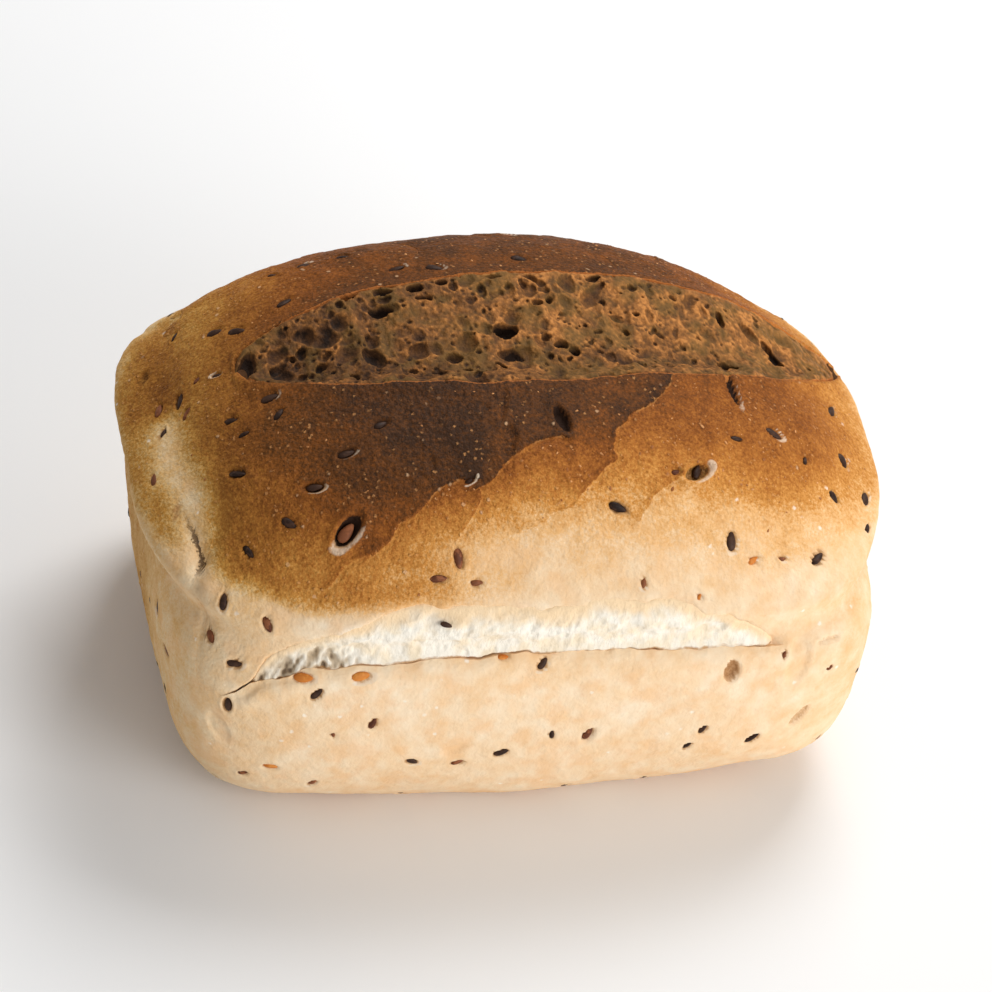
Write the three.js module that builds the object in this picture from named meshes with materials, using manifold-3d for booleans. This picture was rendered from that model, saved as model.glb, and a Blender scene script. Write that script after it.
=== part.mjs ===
// A farmhouse loaf of multigrain bread, baked in a tin and split along its top.
//
// Units are millimetres. The loaf stands on its baked base at z = 0, +X runs along
// it, -Y is the side with the best torn seam, and the origin lies under the middle
// of its bounding box.
//
// The dough filled a tin up to its rim, rose over it as a crown, tore away from the
// tin part along a seam just above the rim, and opened along one long slash. The
// form is one implicit surface built from those sizes. The slash, the seam and the
// dents are relief on it, and whole flax seeds are baked into the crust.

import * as THREE from 'three';
import { mergeVertices } from 'three/addons/utils/BufferGeometryUtils.js';
import Module from 'manifold-3d';

// ---- Driving dimensions --------------------------------------------------------

// The part of the loaf that the tin shaped.
const TIN = {
  halfLength: 95,
  halfWidth: 69,
  rim: 59, // height of the tin's rim
  draft: 0.05, // how much each wall leans out, for each millimetre up
  rimPower: 5, // squareness of the plan at the rim
  footPower: 5.7, // squareness of the plan at the base
};

// The rounded foot between the walls and the flat base.
const FOOT = {
  height: 30,
  share: 0.75, // how far the base draws in: 0 is a sharp corner
  wave: 1.3, // the long walls bow in and out near the base
  wavePitch: 74,
  waveCrest: 2,
};

// The crown, which rose over the rim and leans a little.
const CROWN = {
  height: 110,
  slope: 0.015, // the top falls this much for each millimetre towards +X
  shoulder: 38, // the dome starts to close above this height
  dome: 2.05, // how full the dome is
  endPower: 2.3,
  sidePower: 3.4,
  overEnds: 13.5, // how far it hangs over the tin's ends
  overSides: 4, // and over its long sides
  swell: 12, // height in which it gains that overhang
  swellBelow: 2,
  endStart: 6.2, // it starts this much higher at the ends
  leanBack: 0.15, // how far it leans, for each millimetre above the rim
  leanLeft: 0.04,
  blendFrom: 10, // the plan turns from the tin's to the crown's from this far under the rim
  blendOver: 35,
};

// The plan turns from a long side into an end round the corners.
const CORNER = { power: 6, least: 0.02 };

// The pinch under the crown, which is shallower on the ends.
const WAIST = { depth: 3.6, endDepth: 1, above: 5, endDrop: 3, spread: 6 };

// The slash along the top: a lens between two curved lips.
const SLASH = {
  left: new THREE.Vector2(-72, 4.6),
  right: new THREE.Vector2(94, 18.6),
  frontBow: 29, // front lip, in front of the line between the tips
  backBow: 17.5, // back lip, behind it
  frontPower: 0.62,
  backPower: 0.36,
  backThins: 0.33, // the back half narrows this much towards the right tip
  depth: 5,
  deepest: 0.3, // where the floor is lowest, from front lip to back lip
  backRise: 0.75, // how much of that depth it loses at the back lip
  step: 0.6, // the floor starts this much below the lips
  leftRamp: 0.1, // share of the length in which it reaches its depth
  rightRamp: 0.3,
  lipHeight: 0.9,
  lipReach: 4,
  lipStep: 1.3, // width of the wall under each lip
  lowest: 70, // nothing below this height belongs to the slash
};

// Large bubbles that show in the slash: place along and across it, radii, turn, depth.
const GREAT_PORES = [
  { along: 0.024, across: 0.4, long: 4.9, wide: 2.6, turn: 78, deep: 3.6 },
  { along: 0.409, across: 0.39, long: 3.6, wide: 2.9, turn: 90, deep: 3.6 },
  { along: 0.414, across: 0.175, long: 3.9, wide: 3.1, turn: 20, deep: 2.2 },
  { along: 0.872, across: 0.39, long: 6.2, wide: 1.7, turn: -58, deep: 2.6 },
];
const SMALL_PORES = {
  count: 22,
  smallest: 1.5,
  largest: 2.5,
  stretch: 1.25,
  along: [0.12, 0.84],
  across: [0.14, 0.86],
  apart: 5.5,
  seed: 17,
};

// The torn seam, where the crown pulled away from the tin part: a dark crack with
// pale, craggy crumb above it on the long sides, and a soft valley across the ends.
const SEAM = {
  aboveRim: 2,
  sag: 3.5, // it runs lower towards the corners
  sagReach: 75,
  riseLeft: 22, // how much higher it runs across each end
  riseRight: 5,
  riseFrom: 0.6, // share of the corner at which it starts to rise
  riseOver: 0.36,
  dip: 9, // it drops at the front left corner
  dipAt: -80,
  dipReach: 12,
  frontOpen: 15, // height of the torn band, and where it starts and stops
  frontFrom: -84,
  frontTo: 64,
  backOpen: 12,
  backFrom: -56,
  backTo: 78,
  taper: 16,
  cornerFrom: 0.15, // it closes round the corners
  cornerTo: 0.6,
  crackDepth: 2.2,
  crackAbove: 0.9,
  crackReach: 1.3,
  bandDepth: 1,
  bandRise: 1.5, // the band reaches its depth this far above the crack
  bandFade: 3, // and loses it again under its upper edge
  crag: 0.7,
  lip: 0.6, // the wall below stands this proud
  lipBelow: 3,
  lipReach: 3,
  valleyDepth: 1,
  valleyAbove: 2,
  valleyReach: 5,
};

// A short split in the left end, from one place on it to another.
const END_SPLIT = { fromY: -48, toY: -25, fromZ: 75, toZ: 82, depth: 1.6, reach: 1.8 };

// Soft lumps and hollows of the hand-shaped dough.
const LUMPS = [
  { at: [-96, 28, 60], reach: 20, height: 1.2 },
  { at: [91, -36, 74], reach: 14, height: -1.4 },
  { at: [-84, 44, 79], reach: 16, height: 1.1 },
  { at: [-91, -32, 25], reach: 18, height: -1.5 },
  { at: [96, 8, 78], reach: 18, height: 2 },
  { at: [97, 20, 40], reach: 22, height: -0.9 },
  { at: [-25, 48, 104], reach: 16, height: -0.8 },
  { at: [58, 52, 90], reach: 20, height: -1 },
  { at: [-58, -52, 0], reach: 14, height: -2 },
  { at: [62, -54, 2], reach: 14, height: -2.2 },
  { at: [80, -62, 45], reach: 18, height: 0.8 },
  { at: [-30, -66, 82], reach: 20, height: 0.8 },
  { at: [20, -66, 30], reach: 26, height: -0.7 },
  { at: [10, 70, 40], reach: 26, height: -0.8 },
];

// Ragged, slightly raised wrinkles that run down the front of the crown.
const WRINKLE = {
  height: 0.5,
  pitch: 17,
  slant: 0.9,
  wander: 0.35,
  from: 78,
  to: 106,
  frontFrom: 25, // how far in front of the middle they start
  frontOver: 20,
};

// The even unevenness of a baked crust.
const SKIN = { height: 0.45, size: 15, seed: 5, flatBelow: 12 };
const CRUMB = { height: 0.9, size: 5.5, seed: 9 };

// Flax seeds, half sunk in the crust.
const FLAX = {
  long: 4.4,
  wide: 2.3,
  thick: 1.3,
  proud: 0.3,
  count: 90,
  apart: 13,
  clearOfSlash: 4,
  clearOfCrack: 4,
  clearOfBase: 7,
  seed: 41,
};

// The mesh: columns along and across the top, and rows up the walls.
const GRID = {
  alongTop: 42,
  frontRows: 9,
  slashRows: 6,
  backRows: 7,
  footRows: 7,
  bandRows: 3,
  crownRows: 5,
  crackFloor: 1, // a row runs this far above the crack
  leastBand: 4, // and one at the band's upper edge, at least this far above it
};
const MERGE_WITHIN = 1e-4; // points closer than this are one
const SLIVER = 0.08; // triangles thinner than this are merged away after the joins
const TOP_EDGE = { sides: 95, ends: 88 }; // height at which the walls give way to the top
const FORM_CENTRE_HEIGHT = 52;
const LONGEST_REACH = 150; // farther than any point of the form from its middle
const REACH_HALVINGS = 40;
const TOP_HALF_WIDTH = TIN.halfWidth * 1.1;
const LIP_PASSES = 12; // the lips' places are found in this many steps
const LIP_LIMIT = 0.95;
const LAY_FROM = 12; // pieces are laid on the crust from this far above it
const LAY_REACH = 30;

const CRUST = { color: 0xb4793f, roughness: 0.72, metalness: 0 };

// ---- Small helpers -------------------------------------------------------------

const clamp = (value, low, high) => Math.min(Math.max(value, low), high);

const smooth = (value) => {
  const t = clamp(value, 0, 1);
  return t * t * (3 - 2 * t);
};

const bell = (distance) => Math.exp(-distance * distance);

const mix = (a, b, share) => a + (b - a) * share;

// Repeatable random numbers from 0 to 1.
function randomStream(seed) {
  let state = seed >>> 0;
  return () => {
    state = (state + 0x6d2b79f5) >>> 0;
    let bits = Math.imul(state ^ (state >>> 15), state | 1);
    bits ^= bits + Math.imul(bits ^ (bits >>> 7), bits | 61);
    return ((bits ^ (bits >>> 14)) >>> 0) / 4294967296;
  };
}

// Smooth unevenness from -1 to 1: random values on a lattice, blended between them.
function unevenness(seed, size) {
  const corner = (i, j, k) => {
    let bits = Math.imul(i, 374761393) ^ Math.imul(j, 668265263) ^ Math.imul(k, 2147483647);
    bits = Math.imul(bits ^ seed ^ (bits >>> 13), 1274126177);
    return ((bits ^ (bits >>> 16)) >>> 0) / 2147483648 - 1;
  };
  return (x, y, z) => {
    const cell = [x, y, z].map((value) => Math.floor(value / size));
    const [u, v, w] = [x, y, z].map((value, axis) => smooth(value / size - cell[axis]));
    let sum = 0;
    for (let bit = 0; bit < 8; bit += 1) {
      const [a, b, c] = [bit & 1, (bit >> 1) & 1, bit >> 2];
      const weight = (a ? u : 1 - u) * (b ? v : 1 - v) * (c ? w : 1 - w);
      sum += weight * corner(cell[0] + a, cell[1] + b, cell[2] + c);
    }
    return sum;
  };
}

// ---- The form of the loaf ------------------------------------------------------

// 1 on the two ends, 0 on the long sides, blended round the corners.
function endShare(x, y) {
  const end = (Math.abs(x) / TIN.halfLength) ** CORNER.power;
  const side = (Math.abs(y) / TIN.halfWidth) ** CORNER.power;
  return end / (end + side + CORNER.least);
}

// Below 1 inside the loaf, 1 on its surface and above 1 outside.
function form(x, y, z) {
  const share = endShare(x, y);
  const start = TIN.rim + CROWN.endStart * share;
  const swell = smooth((z - start + CROWN.swellBelow) / CROWN.swell);
  const draft = TIN.draft * Math.min(z - TIN.rim, 0);
  const depth = mix(WAIST.depth, WAIST.endDepth, share);
  const pinch = depth * bell((z - start - WAIST.above + WAIST.endDrop * share) / WAIST.spread);
  const wave = FOOT.wave * Math.cos((2 * Math.PI * (x - FOOT.waveCrest)) / FOOT.wavePitch);
  const halfLength = TIN.halfLength + draft + CROWN.overEnds * swell - pinch;
  const halfWidth = TIN.halfWidth + draft + CROWN.overSides * swell - pinch
    + wave * Math.max(1 - z / FOOT.height, 0);

  const above = Math.max(z - TIN.rim, 0);
  const along = Math.abs(x + CROWN.leanLeft * above) / halfLength;
  const across = Math.abs(y - CROWN.leanBack * above) / halfWidth;

  const tinPower = mix(TIN.footPower, TIN.rimPower, clamp(z / TIN.rim, 0, 1));
  const crown = smooth((z - TIN.rim + CROWN.blendFrom) / CROWN.blendOver);
  const endPower = mix(tinPower, CROWN.endPower, crown);
  const sidePower = mix(tinPower, CROWN.sidePower, crown);

  const top = CROWN.height - CROWN.slope * x;
  const dome = (Math.max(z - CROWN.shoulder, 0) / (top - CROWN.shoulder)) ** CROWN.dome;
  const foot = FOOT.share * (Math.max(FOOT.height - z, 0) / FOOT.height) ** 2;
  return along ** endPower + across ** sidePower + dome + foot;
}

// Where a line from a point inside the loaf leaves it.
function edgeOf(inside, direction) {
  let near = 0;
  let far = LONGEST_REACH;
  const point = new THREE.Vector3();
  for (let step = 0; step < REACH_HALVINGS; step += 1) {
    const reach = (near + far) / 2;
    point.copy(inside).addScaledVector(direction, reach);
    if (form(point.x, point.y, point.z) < 1) near = reach;
    else far = reach;
  }
  return point.copy(inside).addScaledVector(direction, near);
}

// The outward normal of the form.
function normalAt(point) {
  const step = 0.5;
  const slope = (axis) => {
    const ahead = point.clone();
    const behind = point.clone();
    ahead[axis] += step;
    behind[axis] -= step;
    return form(ahead.x, ahead.y, ahead.z) - form(behind.x, behind.y, behind.z);
  };
  return new THREE.Vector3(slope('x'), slope('y'), slope('z')).normalize();
}

// ---- The slash -----------------------------------------------------------------

// Both lips of the slash at x, and how far along it that is.
function slashAt(x) {
  const along = (x - SLASH.left.x) / (SLASH.right.x - SLASH.left.x);
  const chord = mix(SLASH.left.y, SLASH.right.y, along);
  const open = Math.max(4 * along * (1 - along), 0);
  return {
    along,
    front: chord - SLASH.frontBow * open ** SLASH.frontPower,
    back: chord + SLASH.backBow * open ** SLASH.backPower * (1 - SLASH.backThins * along),
  };
}

const crumbCrags = unevenness(CRUMB.seed, CRUMB.size);

// The raised lips, and the open floor between them.
function slashRelief(x, y, z) {
  const { along, front, back } = slashAt(x);
  if (z < SLASH.lowest || along <= 0 || along >= 1) return 0;
  const outside = Math.max(front - y, y - back);
  if (outside >= 0) return SLASH.lipHeight * bell(outside / SLASH.lipReach);
  const across = (y - front) / (back - front);
  const fall = across < SLASH.deepest
    ? smooth(across / SLASH.deepest)
    : 1 - smooth((across - SLASH.deepest) / (1 - SLASH.deepest)) * SLASH.backRise;
  const ends = smooth(along / SLASH.leftRamp) * smooth((1 - along) / SLASH.rightRamp);
  const wall = smooth(-outside / SLASH.lipStep);
  const crags = CRUMB.height * crumbCrags(x, y, z);
  return -wall * ends * (SLASH.depth * fall + SLASH.step + crags);
}

// ---- The torn seam -------------------------------------------------------------

// 1 between two values, falling to 0 at both.
const window = (value, from, to) =>
  smooth((value - from) / SEAM.taper) * smooth((to - value) / SEAM.taper);

// Height of the crack, which is the lower edge of the torn band.
function seamHeight(x, y) {
  const across = smooth((endShare(x, y) - SEAM.riseFrom) / SEAM.riseOver);
  const rise = (x < 0 ? SEAM.riseLeft : SEAM.riseRight) * across;
  const sag = SEAM.sag * (x / SEAM.sagReach) ** 2;
  const dip = y < 0 ? SEAM.dip * bell((x - SEAM.dipAt) / SEAM.dipReach) : 0;
  return TIN.rim + SEAM.aboveRim + rise - (sag + dip) * (1 - across);
}

// How far the seam tore open at a place: 0 is shut, 1 is its full height.
function seamTorn(x, y) {
  const along = y < 0
    ? window(x, SEAM.frontFrom, SEAM.frontTo)
    : window(x, SEAM.backFrom, SEAM.backTo);
  const round = (endShare(x, y) - SEAM.cornerFrom) / (SEAM.cornerTo - SEAM.cornerFrom);
  return along * (1 - smooth(round));
}

const seamOpening = (x, y) => seamTorn(x, y) * (y < 0 ? SEAM.frontOpen : SEAM.backOpen);

const seamCrags = unevenness(CRUMB.seed + 1, CRUMB.size);

// The lip below the crack, the crack, the torn band above it, and the ends' valley.
function seamRelief(x, y, z) {
  const up = z - seamHeight(x, y);
  const torn = smooth(2 * seamTorn(x, y));
  const crack = SEAM.crackDepth * bell((up - SEAM.crackAbove) / SEAM.crackReach);
  const band = smooth(up / SEAM.bandRise) * smooth((seamOpening(x, y) - up) / SEAM.bandFade);
  const lip = SEAM.lip * bell((up + SEAM.lipBelow) / SEAM.lipReach);
  const open = lip - crack - band * (SEAM.bandDepth + SEAM.crag * seamCrags(x, y, z));
  const onLeftEnd = x < 0 ? smooth(2 * endShare(x, y) - 1) : 0;
  const valley = -SEAM.valleyDepth * onLeftEnd * bell((up - SEAM.valleyAbove) / SEAM.valleyReach);
  return mix(valley, open, torn) - endSplit(x, y, z);
}

// Depth of the short split in the left end.
function endSplit(x, y, z) {
  if (x > 0) return 0;
  const along = clamp((y - END_SPLIT.fromY) / (END_SPLIT.toY - END_SPLIT.fromY), 0, 1);
  const height = mix(END_SPLIT.fromZ, END_SPLIT.toZ, Math.sqrt(along));
  const away = Math.hypot(z - height, y - mix(END_SPLIT.fromY, END_SPLIT.toY, along));
  return END_SPLIT.depth * bell(away / END_SPLIT.reach);
}

// ---- Lumps, wrinkles and skin --------------------------------------------------

const skin = unevenness(SKIN.seed, SKIN.size);

// Skin, lumps and wrinkles together.
function crustRelief(x, y, z) {
  let relief = SKIN.height * skin(x, y, z) * smooth(z / SKIN.flatBelow);
  for (const { at, reach, height } of LUMPS) {
    relief += height * bell(Math.hypot(x - at[0], y - at[1], z - at[2]) / reach);
  }
  const onFront = smooth((-y - WRINKLE.frontFrom) / WRINKLE.frontOver)
    * window(z, WRINKLE.from, WRINKLE.to + SEAM.taper);
  const run = (x + WRINKLE.slant * (z - WRINKLE.from)) / WRINKLE.pitch;
  const ramp = run + WRINKLE.wander * skin(z * 2, x, y);
  const edge = (2 * (ramp - Math.floor(ramp)) - 1) ** 3;
  return relief + WRINKLE.height * onFront * edge;
}

// A point of the form, moved out or in by all the relief on it.
function crustPoint(point) {
  const { x, y, z } = point;
  const relief = slashRelief(x, y, z) + seamRelief(x, y, z) + crustRelief(x, y, z);
  const moved = point.clone().addScaledVector(normalAt(point), relief);
  if (z === 0) moved.z = 0;
  return moved;
}

// ---- The body mesh -------------------------------------------------------------

// The wall at a height, in the direction of a point of the unit square's edge.
function wallPoint(s, t, z) {
  const direction = new THREE.Vector3(s * TIN.halfLength, t * TIN.halfWidth, 0).normalize();
  return edgeOf(new THREE.Vector3(0, 0, z), direction);
}

// The rim of the top patch, where walls and top meet.
function topEdge(s, t) {
  const [x, y] = [s * TIN.halfLength, t * TIN.halfWidth];
  return wallPoint(s, t, mix(TOP_EDGE.sides, TOP_EDGE.ends, smooth(endShare(x, y))));
}

// A point of the top, by its place in the unit square.
function topPoint(s, t) {
  const size = Math.max(Math.abs(s), Math.abs(t));
  if (size > 1 - MERGE_WITHIN) return topEdge(s, t);
  const edge = size > 0 ? topEdge(s / size, t / size) : new THREE.Vector3();
  const below = new THREE.Vector3(edge.x * size, edge.y * size, FORM_CENTRE_HEIGHT);
  return edgeOf(below, new THREE.Vector3(0, 0, 1));
}

// The place across the unit square at which the top crosses a lip, plus an offset.
function lipPlace(s, lip, offset) {
  let t = 0;
  for (let pass = 0; pass < LIP_PASSES; pass += 1) {
    const { x, y } = topPoint(s, t);
    const inSlash = slashAt(clamp(x, SLASH.left.x, SLASH.right.x));
    const middle = (inSlash.front + inSlash.back) / 2;
    const gap = Math.max((inSlash.back - inSlash.front) / 2, 3 * SLASH.lipStep);
    t += (middle + lip * gap + offset - y) / TOP_HALF_WIDTH;
    t = clamp(t, -LIP_LIMIT, LIP_LIMIT);
  }
  return t;
}

// Numbers from one value to another in equal steps, without the first.
const stepsTo = (from, to, count) =>
  Array.from({ length: count }, (_, index) => mix(from, to, (index + 1) / count));

// The same, with steps that shrink towards the last number, for a rounded corner.
const closingSteps = (from, to, count) =>
  stepsTo(0, 1, count).map((share) => mix(from, to, (share + Math.sin((share * Math.PI) / 2)) / 2));

// Places across the top at one column: from the front edge over both lips to the back.
function acrossTop(s) {
  const front = lipPlace(s, -1, 0);
  const frontFloor = lipPlace(s, -1, SLASH.lipStep);
  const backFloor = lipPlace(s, 1, -SLASH.lipStep);
  const back = lipPlace(s, 1, 0);
  return [
    -1,
    ...closingSteps(front, -1, GRID.frontRows).slice(0, -1).reverse(),
    front,
    frontFloor,
    ...stepsTo(frontFloor, backFloor, GRID.slashRows),
    back,
    ...closingSteps(back, 1, GRID.backRows),
  ];
}

// Heights up a wall: foot, crack, torn band, crown.
function upWall(s, t) {
  const edge = topEdge(s, t);
  const middle = wallPoint(s, t, TIN.rim);
  const crack = seamHeight(middle.x, middle.y);
  const floor = crack + GRID.crackFloor;
  const upper = crack + Math.max(seamOpening(middle.x, middle.y), GRID.leastBand);
  return [
    0,
    ...stepsTo(0, crack, GRID.footRows),
    floor,
    ...stepsTo(floor, upper, GRID.bandRows),
    ...stepsTo(upper, edge.z, GRID.crownRows),
  ];
}

// The whole crust, as one closed surface.
function bodyGeometry() {
  const positions = [];
  const addQuad = (a, b, c, d) => {
    const [first, second] = a.distanceTo(c) <= b.distanceTo(d)
      ? [[a, b, c], [a, c, d]]
      : [[a, b, d], [b, c, d]];
    for (const corner of [...first, ...second]) positions.push(corner.x, corner.y, corner.z);
  };
  const addPatch = (rows) => {
    for (let i = 0; i + 1 < rows.length; i += 1) {
      for (let j = 0; j + 1 < rows[i].length; j += 1) {
        addQuad(rows[i][j], rows[i + 1][j], rows[i + 1][j + 1], rows[i][j + 1]);
      }
    }
  };

  const half = closingSteps(0, 1, GRID.alongTop / 2);
  const columns = [...half.map((s) => -s).reverse(), 0, ...half];
  const places = columns.map(acrossTop);
  const top = columns.map((s, i) => places[i].map((t) => crustPoint(topPoint(s, t))));
  addPatch(top);

  // Once round the edge of the unit square, anticlockwise seen from above.
  const last = columns.length - 1;
  const acrossRow = places[0].length - 1;
  const round = [];
  for (let i = 0; i < last; i += 1) round.push([columns[i], -1]);
  for (let j = 0; j < acrossRow; j += 1) round.push([1, places[last][j]]);
  for (let i = last; i > 0; i -= 1) round.push([columns[i], 1]);
  for (let j = acrossRow; j > 0; j -= 1) round.push([-1, places[0][j]]);

  const walls = round.map(([s, t]) => {
    const heights = upWall(s, t);
    return heights.map((z, row) => {
      const onEdge = row === heights.length - 1;
      return crustPoint(onEdge ? topEdge(s, t) : wallPoint(s, t, z));
    });
  });
  addPatch([...walls, walls[0]]);

  // The flat base, from its middle.
  walls.forEach((wall, i) => {
    const [here, next] = [wall[0], walls[(i + 1) % walls.length][0]];
    positions.push(0, 0, 0, next.x, next.y, 0, here.x, here.y, 0);
  });

  const geometry = new THREE.BufferGeometry();
  geometry.setAttribute('position', new THREE.Float32BufferAttribute(positions, 3));
  return geometry;
}

// ---- Bubbles and seeds ---------------------------------------------------------

// Lays a piece on the finished crust over a point of the form, turned round the
// outward normal and raised along it.
function layOn(body, piece, point, turn, raise) {
  const out = normalAt(point);
  const above = point.clone().addScaledVector(out, LAY_FROM);
  const ray = new THREE.Raycaster(above, out.clone().negate(), 0, LAY_REACH);
  const place = ray.intersectObject(body)[0].point.addScaledVector(out, raise);
  const side = new THREE.Vector3(1, 0, 0).addScaledVector(out, -out.x).normalize();
  const frame = new THREE.Matrix4().makeBasis(side, out.clone().cross(side), out);
  frame.multiply(new THREE.Matrix4().makeRotationZ(turn)).setPosition(place);
  return piece.applyMatrix4(frame);
}

// The point of the top above a place in the slash.
function placeInSlash(along, across) {
  const x = mix(SLASH.left.x, SLASH.right.x, along);
  const { front, back } = slashAt(x);
  const below = new THREE.Vector3(x, mix(front, back, across), FORM_CENTRE_HEIGHT);
  return edgeOf(below, new THREE.Vector3(0, 0, 1));
}

// One bubble, as a rounded eight-sided solid with its middle on the crust.
function poreGeometry(body, { along, across, long, wide, turn, deep }) {
  const geometry = new THREE.OctahedronGeometry(1, 1).scale(long, wide, deep);
  return layOn(body, geometry, placeInSlash(along, across), THREE.MathUtils.degToRad(turn), 0);
}

// Smaller bubbles, spread over the slash clear of the large ones.
function smallPores() {
  const random = randomStream(SMALL_PORES.seed);
  const found = GREAT_PORES.map(({ along, across }) => placeInSlash(along, across));
  const pores = [];
  while (pores.length < SMALL_PORES.count) {
    const along = mix(...SMALL_PORES.along, random());
    const across = mix(...SMALL_PORES.across, random());
    const radius = mix(SMALL_PORES.smallest, SMALL_PORES.largest, random());
    const turn = 180 * random();
    const point = placeInSlash(along, across);
    if (found.every((other) => other.distanceTo(point) > SMALL_PORES.apart)) {
      found.push(point);
      const long = radius * SMALL_PORES.stretch;
      pores.push({ along, across, long, wide: radius, turn, deep: radius });
    }
  }
  return pores;
}

// One flax seed: a flat drop, blunt at one end and pointed at the other.
function seedGeometry() {
  const profile = [
    new THREE.Vector2(0, -0.5),
    new THREE.Vector2(0.48, -0.18),
    new THREE.Vector2(0.4, 0.18),
    new THREE.Vector2(0, 0.5),
  ];
  const geometry = new THREE.LatheGeometry(profile, 6);
  geometry.rotateZ(-Math.PI / 2);
  geometry.scale(FLAX.long, FLAX.wide, FLAX.thick);
  return geometry;
}

// Seeds spread evenly over the crust, clear of the slash, the crack and the base.
function seedGeometries(body) {
  const random = randomStream(FLAX.seed);
  const middle = new THREE.Vector3(0, 0, FORM_CENTRE_HEIGHT);
  const found = [];
  const seeds = [];
  while (seeds.length < FLAX.count) {
    const direction = new THREE.Vector3(2 * random() - 1, 2 * random() - 1, 2 * random() - 1);
    const turn = Math.PI * random();
    const point = edgeOf(middle, direction.normalize());
    const { front, back } = slashAt(point.x);
    const overSlash = point.y > front - FLAX.clearOfSlash && point.y < back + FLAX.clearOfSlash;
    const inSlash = point.z > SLASH.lowest && overSlash;
    const aboveCrack = point.z - seamHeight(point.x, point.y) - GRID.crackFloor;
    const inCrack = Math.abs(aboveCrack) < FLAX.clearOfCrack;
    if (inSlash || inCrack || point.z < FLAX.clearOfBase) continue;
    if (found.some((other) => other.distanceTo(point) < FLAX.apart)) continue;
    found.push(point);
    seeds.push(layOn(body, seedGeometry(), point, turn, FLAX.proud));
  }
  return seeds;
}

// ---- Solids --------------------------------------------------------------------

const wasm = await Module();
wasm.setup();

// A solid for joins and cuts from a closed mesh, and the mesh from a solid.
function solidOf(geometry) {
  const bare = geometry.index ? geometry.toNonIndexed() : geometry.clone();
  bare.deleteAttribute('normal');
  bare.deleteAttribute('uv');
  const merged = mergeVertices(bare, MERGE_WITHIN);
  return new wasm.Manifold(new wasm.Mesh({
    numProp: 3,
    vertProperties: Float32Array.from(merged.attributes.position.array),
    triVerts: Uint32Array.from(merged.index.array),
  }));
}

function geometryOf(solid) {
  const { vertProperties, triVerts } = solid.getMesh();
  const geometry = new THREE.BufferGeometry();
  geometry.setAttribute('position', new THREE.BufferAttribute(vertProperties, 3));
  geometry.setIndex(new THREE.BufferAttribute(triVerts, 1));
  return geometry;
}

// The crust with its bubbles cut out and its seeds joined on, centred over the origin.
function loafGeometry() {
  const body = new THREE.Mesh(bodyGeometry());
  let solid = solidOf(body.geometry);
  for (const pore of [...GREAT_PORES, ...smallPores()]) {
    solid = solid.subtract(solidOf(poreGeometry(body, pore)));
  }
  for (const seed of seedGeometries(body)) solid = solid.add(solidOf(seed));
  const geometry = geometryOf(solid.asOriginal().simplify(SLIVER));
  geometry.computeBoundingBox();
  const middle = geometry.boundingBox.getCenter(new THREE.Vector3());
  geometry.translate(-middle.x, -middle.y, 0);
  geometry.computeVertexNormals();
  return geometry;
}

// ---- The loaf ------------------------------------------------------------------

const loaf = new THREE.Mesh(loafGeometry(), new THREE.MeshStandardMaterial(CRUST));
loaf.name = 'loaf';

const part = new THREE.Group();
part.add(loaf);

export default part;
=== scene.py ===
"""A farmhouse loaf of multigrain bread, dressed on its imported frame.

The crust is one implicit form, in millimetres, with the sizes of the frame's source. It is
cut at the seam into the part that the tin shaped and the crown that rose over it. The slash
along the top shows an open, toasted crumb, the torn seams a white one, and whole flax seeds
are baked into the crust, each in its own pit. Places named by photograph pixels are found on
the crust through the camera, so what stands there rests on the crust from every side.
"""

from __future__ import annotations

import logging
import math
from dataclasses import dataclass, field
from enum import Enum
from typing import Iterable, Sequence

import bpy
import numpy as np
import openvdb
from mathutils import Matrix, Vector
from mathutils.bvhtree import BVHTree


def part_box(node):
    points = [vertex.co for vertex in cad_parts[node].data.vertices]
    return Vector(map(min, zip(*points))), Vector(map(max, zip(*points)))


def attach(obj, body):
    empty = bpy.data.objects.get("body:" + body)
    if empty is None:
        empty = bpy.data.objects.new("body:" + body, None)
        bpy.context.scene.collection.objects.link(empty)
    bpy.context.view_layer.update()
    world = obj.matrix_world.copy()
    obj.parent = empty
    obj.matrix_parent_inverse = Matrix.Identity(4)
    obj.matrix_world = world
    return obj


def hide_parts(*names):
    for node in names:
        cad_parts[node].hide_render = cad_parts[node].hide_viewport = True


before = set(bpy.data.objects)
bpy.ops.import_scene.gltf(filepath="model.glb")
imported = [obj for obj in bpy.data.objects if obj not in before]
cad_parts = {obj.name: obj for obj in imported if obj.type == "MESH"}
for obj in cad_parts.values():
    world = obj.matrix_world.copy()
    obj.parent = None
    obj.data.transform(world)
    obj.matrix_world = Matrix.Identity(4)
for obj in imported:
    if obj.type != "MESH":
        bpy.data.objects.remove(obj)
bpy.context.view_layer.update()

LOG = logging.getLogger("loaf")
MM = 0.001  # in metres
PHOTO_SIDE = 992.0  # in pixels
BODY = "root"
NODE = "loaf"

Array = np.ndarray


# ---- Number helpers ------------------------------------------------------------


def smooth(value: Array) -> Array:
    """A soft step from 0 to 1 over 0 to 1."""
    t = np.clip(value, 0.0, 1.0)
    return t * t * (3.0 - 2.0 * t)


def bell(distance: Array) -> Array:
    """1 at 0, and falling off both ways."""
    return np.exp(-distance * distance)


def mix(a: Array, b: Array, share: Array) -> Array:
    """From a to b by share."""
    return a + (b - a) * share


def unit(vectors: Array) -> Array:
    """The vectors with length 1."""
    return vectors / np.maximum(np.linalg.norm(vectors, axis=-1, keepdims=True), 1e-12)


def steps(start: float, stop: float, count: int) -> Array:
    """Equal steps from start to stop, without the first number."""
    return start + (stop - start) * np.arange(1, count + 1) / count


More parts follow.
